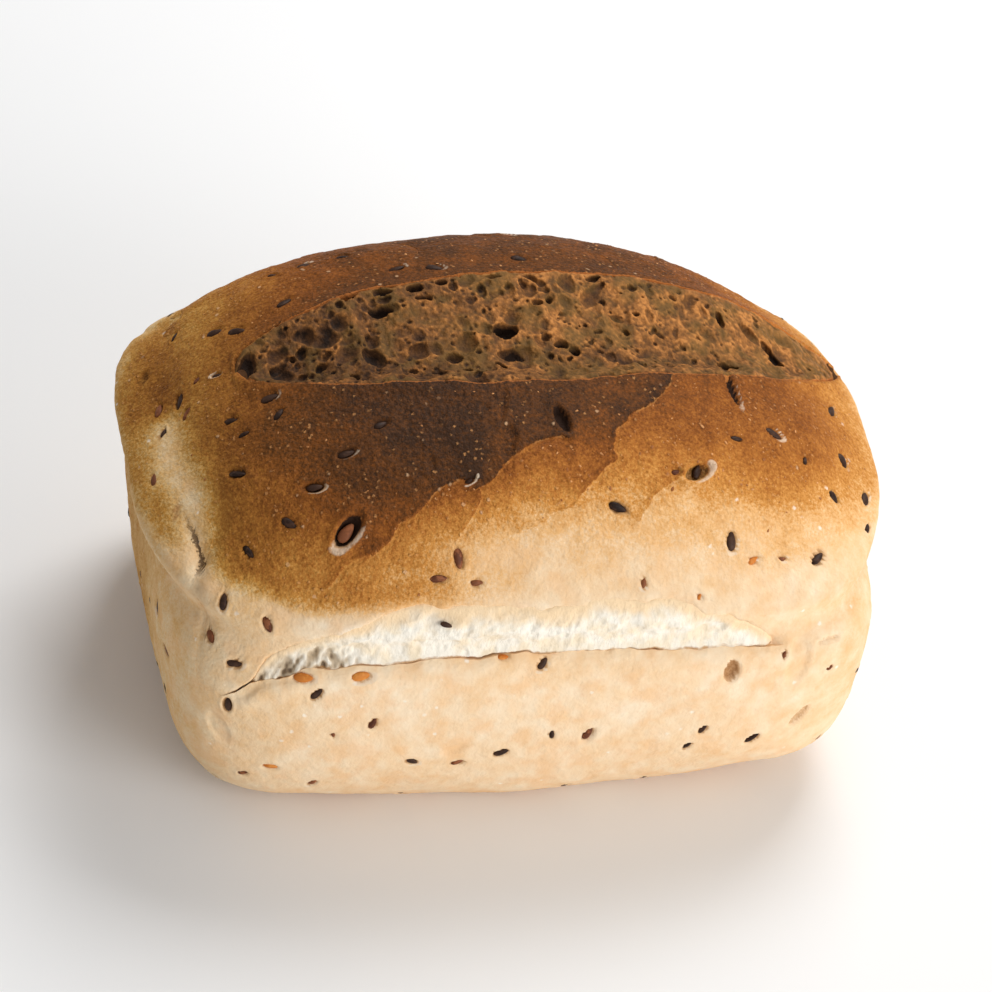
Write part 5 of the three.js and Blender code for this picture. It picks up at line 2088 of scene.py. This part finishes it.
@dataclass
class TornBand:
    """The torn white crumb along one long side's seam."""

    form: LoafForm
    sign: float
    name: str
    seed: int
    spacing: float = 0.3
    below: float = 1.7
    over: float = 3.2
    buried: float = 4.2
    pores: int = 40
    start_dive: float = 2.6
    whole_dive: float = 2.4
    top_dive: float = 1.6
    lump_size: float = 10.0
    flake_size: float = 7.0
    flake_height: float = 0.7
    strand_size: float = 1.7
    strand_height: float = 0.35
    fissure_from: float = -80.0
    fissure_long: float = 22.0
    fissure_depth: float = 2.0
    fissure_heights: tuple[float, float] = (49.0, 59.0)
    fissure_widths: tuple[float, float] = (2.6, 4.4)

    def build(self, material: bpy.types.Material, shift: Array) -> bpy.types.Object:
        """The finished piece.

        Args:
            material: its finish.
            shift: from form coordinates to the frame's.

        Returns:
            The object.
        """
        form, seam = self.form, self.form.seam
        start, stop = (seam.front_from, seam.front_to) if self.sign < 0 else (seam.back_from, seam.back_to)
        opening = seam.front_open if self.sign < 0 else seam.back_open
        x = np.linspace(start + 1, stop - 1, int((stop - start) / self.spacing))
        v = np.linspace(0, 1, int((opening + self.below + self.over) / self.spacing))
        grid_x = np.broadcast_to(x[:, None], (len(x), len(v)))
        at_rim = form.side(x, np.full(x.shape, form.tin.rim + 3.0), self.sign)
        crack = form.seam_height(x, at_rim[:, 1])
        gap = form.seam_opening(x, at_rim[:, 1])
        torn = smooth(2 * form.seam_torn(x, at_rim[:, 1]))
        up = mix(-self.below, gap[:, None] + self.over, v[None, :])
        points = form.side(grid_x, crack[:, None] + up, self.sign)
        out = form.normal(points)
        level = self._relief(points, up, gap[:, None])
        broken = np.clip(0.5 + 1.4 * layered(points * (1, 0, 0), self.seed + 11, 9.0, 3), 0, 1)
        dive = smooth((0.1 + 0.6 * broken - up) / 1.2) * self.start_dive
        dive = dive + (1 - torn[:, None]) * self.whole_dive
        dive = dive + self.top_dive * smooth((up - gap[:, None] + 0.8) / 3)
        sunk = (0.35 + 0.65 * smooth(up / 5)) * form.band_depth(points[..., 0], points[..., 1], up)
        share = (0.5 + 0.5 * smooth(up / 3)) * (0.3 + 0.7 * smooth((gap[:, None] - up) / 4))
        offset = level * share - sunk - dive
        offset[:, 0] = offset[:, -1] = -self.buried
        offset[0, :] = offset[-1, :] = -self.buried
        builder = MeshBuilder()
        index = builder.add(points + out * offset[..., None])
        builder.patch(index)
        builder.patch(np.stack([index[:, -1], index[:, 0]], axis=1))
        for row in (index[0], index[-1][::-1]):
            hub = builder.add(builder.points[row].mean(axis=0, keepdims=True))
            builder.fan(row, int(hub[0]))
        values = {
            # The depth value is painted shade: greyer in dips of the relief and in the fissure.
            "depth": np.append((np.clip(-level / 2.2, 0, 1.2) + self._fissure(points)).ravel(), [1.0, 1.0]),
            "above_crack": np.append(up.ravel(), [0.0, 0.0]),
            "under_top": np.append((gap[:, None] - up).ravel(), [0.0, 0.0]),
        }
        return mesh_object(self.name, builder.points + shift, builder.quads, material, values)

    def _fissure(self, p: Array) -> Array:
        """How deep the ragged fissure near the front left corner is, which is also how much painted shade
        greys it.
        """
        if self.sign > 0:
            return np.zeros(p.shape[:-1])
        along = (p[..., 0] - self.fissure_from) / self.fissure_long
        held = np.clip(along, 0, 1)
        height = mix(*self.fissure_heights, held) + 2.0 * layered(p, 111, 5.0, 3)
        width = mix(*self.fissure_widths, held)
        ends = bell(np.maximum(along - 1, 0) * 2.5) * bell(np.minimum(along, 0) * 4)
        torn = 0.4 + 1.0 * layered(p, 113, 3.0, 3, (1, 1, 1.5)) + 0.6 * Unevenness(127, 0.9)(p, (1, 1, 2.2))
        return np.maximum(torn, 0) * bell((p[..., 2] - height) / width) * ends

    def _relief(self, p: Array, up: Array, gap: Array) -> Array:
        """Torn lumps, flakes, upright strands and small bubbles, in millimetres."""
        lumps = layered(p, self.seed, self.lump_size, 4)
        flakes = 1 - 2.2 * np.abs(layered(p, self.seed + 3, self.flake_size, 3, (1.4, 1, 0.9)))
        strands = self.strand_height * layered(p, self.seed + 7, self.strand_size, 2, (1, 1, 2.2))
        level = lumps + self.flake_height * flakes + strands - 0.35
        level = level - self.fissure_depth * self._fissure(p)
        random = np.random.default_rng(self.seed)
        x0, x1 = float(p[..., 0].min()), float(p[..., 0].max())
        for _ in range(self.pores):
            cx = random.uniform(x0, x1)
            cu = random.uniform(0.5, float(gap.max()))
            radius = 0.3 + 0.8 * random.random() ** 3
            away = np.hypot(p[..., 0] - cx, (up - cu) / 1.3)
            level = level - 0.5 * np.sqrt(np.maximum(radius**2 - away**2, 0))
        return level


# ---- Seeds and blisters --------------------------------------------------------


def drop_mesh(name: str, sides: int, rings: int) -> bpy.types.Object:
    """A flat drop of length, width and thickness 1, blunt at one end and pointed at the other.

    Args:
        name: the object's name.
        sides: faces round it.
        rings: rings along it.

    Returns:
        The object, which isn't linked to the scene.
    """
    share = (1 - np.cos(np.linspace(0, math.pi, rings + 2)[1:-1])) / 2
    wide = np.sqrt(share * (1 - share)) * (1.16 - 0.5 * share)
    wide = wide / wide.max() / 2
    turn = np.arange(sides) * 2 * math.pi / sides
    x = np.broadcast_to((share - 0.5)[:, None], (rings, sides))
    points = np.stack([x, wide[:, None] * np.cos(turn), wide[:, None] * np.sin(turn)], axis=-1).reshape(-1, 3)
    points = np.concatenate([points, [[-0.5, 0, 0], [0.5, 0, 0]]])
    round_ = [(side, (side + 1) % sides) for side in range(sides)]
    faces = []
    for near in range(0, (rings - 1) * sides, sides):
        far = near + sides
        faces += [(near + side, far + side, far + after, near + after) for side, after in round_]
    blunt, tip, last = rings * sides, rings * sides + 1, (rings - 1) * sides
    for side, after in round_:
        faces += [(blunt, side, after), (tip, last + after, last + side)]
    mesh = bpy.data.meshes.new(name)
    mesh.from_pydata(points.tolist(), [], faces)
    mesh.polygons.foreach_set("use_smooth", np.ones(len(mesh.polygons), bool))
    return bpy.data.objects.new(name, mesh)


@dataclass
class Scattered:
    """Where and how copies of one shape lie."""

    places: Array
    turns: Array
    sizes: Array
    tones: Array


class Scatter:
    """Lays copies of one shape at places, with geometry nodes."""

    INPUTS = {"Places": "Geometry", "Shape": "Object", "Size": "Float", "Size Change": "Float", "Seed": "Int"}

    def __init__(self, name: str, shape: bpy.types.Object, material: bpy.types.Material) -> None:
        """Args:
            name: the piece's name.
            shape: the shape to copy.
            material: its finish.
        """
        self.name = name
        self.shape = shape
        self.material = material
        self.tree = bpy.data.node_groups.new(f"lay_{name}", "GeometryNodeTree")
        self._grow()

    def _node(self, kind: str, settings: dict | None = None, sockets: dict | None = None) -> bpy.types.Node:
        """Makes a node: type, its own settings, then values or links of its inputs."""
        node = self.tree.nodes.new(kind)
        for key, value in (settings or {}).items():
            setattr(node, key, value)
        for key, value in (sockets or {}).items():
            if isinstance(value, bpy.types.NodeSocket):
                self.tree.links.new(value, node.inputs[key])
            else:
                node.inputs[key].default_value = value
        return node

    def _read(self, name: str) -> bpy.types.NodeSocket:
        """A vector that each place carries."""
        return self._node("GeometryNodeInputNamedAttribute", {"data_type": "FLOAT_VECTOR"},
                          {"Name": name}).outputs["Attribute"]

    def _math(self, operation: str, *values: bpy.types.NodeSocket | float) -> bpy.types.NodeSocket:
        """The result of a sum of two values."""
        return self._node("ShaderNodeMath", {"operation": operation}, dict(enumerate(values))).outputs[0]

    def _grow(self) -> None:
        """Builds the tree."""
        side = self.tree.interface
        for name, kind in self.INPUTS.items():
            side.new_socket(name, in_out="INPUT", socket_type=f"NodeSocket{kind}")
        side.new_socket("Geometry", in_out="OUTPUT", socket_type="NodeSocketGeometry")
        given = self._node("NodeGroupInput").outputs
        shape = self._node("GeometryNodeObjectInfo", {}, {"Object": given["Shape"]})
        least = self._math("SUBTRACT", 1.0, given["Size Change"])
        most = self._math("ADD", 1.0, given["Size Change"])
        change = self._node("FunctionNodeRandomValue", {"data_type": "FLOAT"}, {
            2: least, 3: most, "Seed": given["Seed"]})
        scale = self._node("ShaderNodeVectorMath", {"operation": "SCALE"}, {
            0: self._read("size"), "Scale": self._math("MULTIPLY", change.outputs[1], given["Size"])})
        turn = self._node("FunctionNodeEulerToRotation", {}, {0: self._read("turn")})
        laid = self._node("GeometryNodeInstanceOnPoints", {}, {
            "Points": given["Places"], "Instance": shape.outputs["Geometry"],
            "Rotation": turn.outputs[0], "Scale": scale.outputs[0]})
        real = self._node("GeometryNodeRealizeInstances", {}, {"Geometry": laid.outputs[0]})
        dressed = self._node("GeometryNodeSetMaterial", {}, {
            "Geometry": real.outputs[0], "Material": self.material})
        self._node("NodeGroupOutput", {}, {"Geometry": dressed.outputs[0]})

    def lay(self, scattered: Scattered, change: float, seed: int) -> bpy.types.Object:
        """Lays the copies and makes them one plain mesh.

        Args:
            scattered: where and how they lie, in centred millimetres.
            change: how much their sizes vary.
            seed: the sizes' random seed.

        Returns:
            The finished piece.
        """
        mesh = bpy.data.meshes.new(f"{self.name}_places")
        mesh.from_pydata((scattered.places * MM).tolist(), [], [])
        for key, array in (("turn", scattered.turns), ("size", scattered.sizes), ("tone", scattered.tones)):
            kind, slot = ("FLOAT_VECTOR", "vector") if array.ndim == 2 else ("FLOAT", "value")
            layer = mesh.attributes.new(key, kind, "POINT")
            layer.data.foreach_set(slot, array.astype(np.float32).ravel())
        carrier = bpy.data.objects.new(f"{self.name}_carrier", mesh)
        bpy.context.scene.collection.objects.link(carrier)
        modifier = carrier.modifiers.new("lay", "NODES")
        modifier.node_group = self.tree
        settings = {"Shape": self.shape, "Size": MM, "Size Change": change, "Seed": seed}
        for item in self.tree.interface.items_tree:
            if item.name in settings:
                modifier[item.identifier] = settings[item.name]
        bpy.context.view_layer.update()
        graph = bpy.context.evaluated_depsgraph_get()
        plain = bpy.data.meshes.new_from_object(carrier.evaluated_get(graph))
        plain.name = self.name
        carrier.modifiers.clear()
        bpy.data.objects.remove(carrier)
        bpy.data.meshes.remove(mesh)
        obj = bpy.data.objects.new(self.name, plain)
        bpy.context.scene.collection.objects.link(obj)
        return obj


def turn_of(mark: Mark, roll: float = 0.0, pitch: float = 0.0) -> tuple[float, float, float]:
    """The turn that lays a shape's length along a mark, as Euler angles."""
    side = np.cross(mark.out, mark.along)
    matrix = Matrix((mark.along, side, mark.out)).transposed()
    turned = matrix @ Matrix.Rotation(roll, 3, "X") @ Matrix.Rotation(pitch, 3, "Y")
    return tuple(turned.to_euler("XYZ"))


@dataclass
class Seeds:
    """The flax seeds: those that the photograph shows, and others by rule where it can't."""

    finder: Finder
    form: LoafForm
    shift: Array
    wide_share: float = 0.5
    thick: float = 1.35
    unseen: int = 110
    apart: float = 10.5
    seed: int = 23
    seeds: list[Seed] = field(default_factory=list)

    def place(self) -> None:
        """Finds every seed's place."""
        random = np.random.default_rng(self.seed)
        for kind, rows in SEEN_SEEDS.items():
            for px, py, turn, long in rows:
                mark = self.finder.by_pixel(px, py, turn)
                if mark is None:
                    LOG.warning("no crust at pixel %s, %s", px, py)
                    continue
                self.seeds.append(self._seed(random, mark, kind, long))
        middle = Vector((0.0, 0.0, self.form.centre_height))
        laid = 0
        while laid < self.unseen:
            direction = Vector(random.normal(size=3)).normalized()
            mark = self.finder.by_direction(direction, random.uniform(0, math.pi), middle)
            kind = random.choice([Kind.DARK, Kind.DARK, Kind.BROWN, Kind.GOLDEN], p=[0.35, 0.3, 0.25, 0.1])
            long = random.uniform(3.2, 5.0)
            if mark is None or self.finder.faces_camera(mark) or not self._clear(mark):
                continue
            if any(np.linalg.norm(mark.at - other.mark.at) < self.apart for other in self.seeds):
                continue
            self.seeds.append(self._seed(random, mark, kind, long))
            laid += 1

    def _seed(self, random: np.random.Generator, mark: Mark, kind: Kind, long: float) -> Seed:
        """A seed at a mark, with its own width, depth, tone and lean."""
        wide = long * self.wide_share * random.uniform(0.88, 1.1)
        sunk, tone = random.uniform(0.38, 0.64), random.random() * 0.5
        return Seed(mark, kind, long, wide, sunk, tone, random.normal(0, 0.3), random.normal(0, 0.1))

    def _clear(self, mark: Mark) -> bool:
        """Whether a mark is clear of the slash, the crack and the base."""
        p = mark.at - self.shift
        _, front, back = self.form.slash.lips(np.array(p[0]))
        in_slash = p[2] > self.form.slash.lowest and float(front) - 3 < p[1] < float(back) + 3
        in_crack = abs(p[2] - float(self.form.seam_height(np.array(p[0]), np.array(p[1])))) < 3
        return not in_slash and not in_crack and p[2] > 6

    def build(self, finishes: dict[Kind, bpy.types.Material]) -> list[bpy.types.Object]:
        """One piece for each kind."""
        shape = drop_mesh("seed_shape", 10, 6)
        pieces = []
        for kind in Kind:
            mine = [seed for seed in self.seeds if seed.kind is kind]
            scattered = Scattered(
                places=np.array([s.mark.at - s.mark.out * s.sunk for s in mine]),
                turns=np.array([turn_of(s.mark, s.roll, s.pitch) for s in mine]),
                sizes=np.array([(s.long, s.wide, self.thick) for s in mine]),
                tones=np.array([s.tone for s in mine]),
            )
            pieces.append(Scatter(kind.value, shape, finishes[kind]).lay(scattered, 0.04, self.seed))
        return pieces


@dataclass
class Blisters:
    """Tiny blisters on the browned crown."""

    count: int = 420
    smallest: float = 0.28
    largest: float = 0.75
    seed: int = 3

    def build(self, crown: Array, out: Array, bake: Array, allowed: Array,
              material: bpy.types.Material) -> bpy.types.Object:
        """The piece.

        Args:
            crown: the crown's points.
            out: its normals.
            bake: how brown it is there.
            allowed: which points may carry a blister.
            material: its finish.

        Returns:
            The object.
        """
        random = np.random.default_rng(self.seed)
        weight = smooth((bake - 0.22) / 0.25) * (0.25 + smooth((0.9 - bake) / 0.2))
        weight = np.where(allowed, weight * (0.3 + smooth((crown[:, 0] + 60) / 50)), 0.0)
        chosen = random.choice(len(crown), self.count, replace=False, p=weight / weight.sum())
        size = self.smallest + (self.largest - self.smallest) * random.random(self.count) ** 2
        marks = []
        for at, normal in zip(crown[chosen], out[chosen]):
            side = np.cross(normal, unit(random.normal(size=3)))
            marks.append(Mark(at, normal, unit(side)))
        scattered = Scattered(
            places=np.array([m.at for m in marks]),
            turns=np.array([turn_of(m) for m in marks]),
            sizes=np.stack([size * random.uniform(1.0, 1.9, self.count), size, size * 0.4], axis=-1),
            tones=random.random(self.count),
        )
        shape = drop_mesh("blister_shape", 7, 3)
        return Scatter("crust_blisters", shape, material).lay(scattered, 0.2, self.seed)


# ---- Floor and light -----------------------------------------------------------


@dataclass(frozen=True)
class SoftLight:
    """A square studio lamp that faces the loaf."""

    name: str
    place: tuple[float, float, float]
    side: float
    power: float


@dataclass
class Studio:
    """A pale floor under plain soft light."""

    floor_side: float = 6.0
    world: float = 0.36
    aim: tuple[float, float, float] = (0.0, 0.0, 0.05)
    lamps: tuple[SoftLight, ...] = (
        SoftLight("overhead", (0.36, 0.55, 1.0), 0.6, 9.0),
        SoftLight("front", (0.80, -1.00, 0.46), 0.8, 11.6),
    )

    def build(self) -> None:
        """Makes the floor, the lamps and the world."""
        half = self.floor_side / 2
        mesh = bpy.data.meshes.new("floor")
        corners = [(-half, -half, 0), (half, -half, 0), (half, half, 0), (-half, half, 0)]
        mesh.from_pydata(corners, [], [(0, 1, 2, 3)])
        shader = Shader("pale_floor")
        grain = shader.bump(shader.noise(3.0), 0.02, 0.1)
        mesh.materials.append(shader.finish(tint(245, 245, 245), 0.9, grain, Specular_IOR_Level=0.1))
        floor = bpy.data.objects.new("floor", mesh)
        bpy.context.scene.collection.objects.link(floor)
        for lamp in self.lamps:
            data = bpy.data.lights.new(lamp.name, "AREA")
            data.shape = "SQUARE"
            data.size = lamp.side
            data.energy = lamp.power
            light = bpy.data.objects.new(lamp.name, data)
            bpy.context.scene.collection.objects.link(light)
            place = Vector(lamp.place)
            turn = (Vector(self.aim) - place).to_track_quat("-Z", "Y")
            light.matrix_world = Matrix.Translation(place) @ turn.to_matrix().to_4x4()
        world = bpy.data.worlds.new("soft_room")
        world.use_nodes = True
        world.node_tree.nodes["Background"].inputs["Color"].default_value = (1, 1, 1, 1)
        world.node_tree.nodes["Background"].inputs["Strength"].default_value = self.world
        bpy.context.scene.world = world
        bpy.context.scene.view_settings.view_transform = "Standard"


# ---- The loaf ------------------------------------------------------------------


def write_sizes() -> None:
    """Updates the view layer."""
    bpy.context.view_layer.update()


def centred(form: LoafForm, crown: CrustSurface, tin: CrustSurface) -> Array:
    """The shift from form coordinates to the frame, by the middles of both boxes."""
    points = np.concatenate([crown.smooth_points(np.zeros(3)), tin.smooth_points(np.zeros(3))])
    low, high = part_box(NODE)
    shift = (np.array(low) + np.array(high)) / 2 / MM - (points.min(axis=0) + points.max(axis=0)) / 2
    return np.array([shift[0], shift[1], 0.0])


def find_marks(finder: Finder) -> list[tuple[Mark, Dent]]:
    """The photograph's pits with their places on the crust."""
    found = [(finder.by_pixel(dent.px, dent.py, dent.turn), dent) for dent in DENTS]
    return [(mark, dent) for mark, dent in found if mark is not None]


def add_blisters(form: LoafForm, crown: CrustSurface, points: Array, values: dict[str, Array]) -> None:
    """Lays the blisters clear of the slash, the torn band and the pits.

    Args:
        form: the loaf.
        crown: the crust's upper piece.
        points: its finished points.
        values: the values that its finish reads.
    """
    allowed = crown.outer & (values["torn"] < 0.02) & (values["hollow"] < 0.05)
    x, y, z = crown.bare.T
    _, front, back = form.slash.lips(x)
    allowed &= ~((y > front - 1) & (y < back + 1) & (z > form.slash.lowest))
    skin = SeedFinish("blister_skin", tint(146, 86, 42), tint(222, 160, 102), 0.6).build()
    declare(Blisters().build(points, crown.out, crown.bake, allowed, skin))


def build_loaf() -> None:
    """Builds and dresses every piece of the loaf."""
    form = LoafForm()
    camera = PhotoCamera()
    camera.build()
    Studio().build()
    crust = Crust(form, CrustGrid())
    crown, tin = CrustSurface(crust, "crown"), CrustSurface(crust, "tin")
    shift = centred(form, crown, tin)
    LOG.info("shift %s", shift)
    crown_points = crown.smooth_points(shift)
    faces = np.concatenate([crown.faces, np.where(tin.faces < 0, -1, tin.faces + len(crown_points))])
    finder = Finder(camera, np.concatenate([crown_points, tin.smooth_points(shift)]), faces)
    seeds = Seeds(finder, form, shift)
    seeds.place()
    marks = find_marks(finder)

    crust_finish = CrustFinish().build()
    for name, surface in (("crust_crown", crown), ("crust_tin", tin)):
        points = surface.shape(shift, camera, marks, seeds.seeds)
        values = surface.values()
        piece = mesh_object(name, points, surface.faces, crust_finish, values, surface.sharp)
        declare(piece, replaces=surface is crown)
        if surface is crown:
            add_blisters(form, crown, points, values)

    declare(SlashCrumb(form, finder, shift).build(ToastedCrumbFinish().build()))
    white = TornCrumbFinish().build()
    declare(TornBand(form, -1.0, "crumb_seam_front", 101).build(white, shift))
    declare(TornBand(form, 1.0, "crumb_seam_back", 202).build(white, shift))
    finishes = {
        Kind.DARK: SeedFinish("flax_dark", tint(40, 27, 22), tint(84, 58, 44)).build(),
        Kind.BROWN: SeedFinish("flax_brown", tint(84, 46, 32), tint(168, 104, 66)).build(),
        Kind.GOLDEN: SeedFinish("flax_golden", tint(196, 106, 36), tint(230, 158, 80)).build(),
    }
    for piece in seeds.build(finishes):
        declare(piece)


def main() -> None:
    """Builds the scene and updates the view layer."""
    logging.basicConfig(level=logging.INFO, format="%(name)s: %(message)s")
    build_loaf()
    write_sizes()


if __name__ == "__main__":
    main()
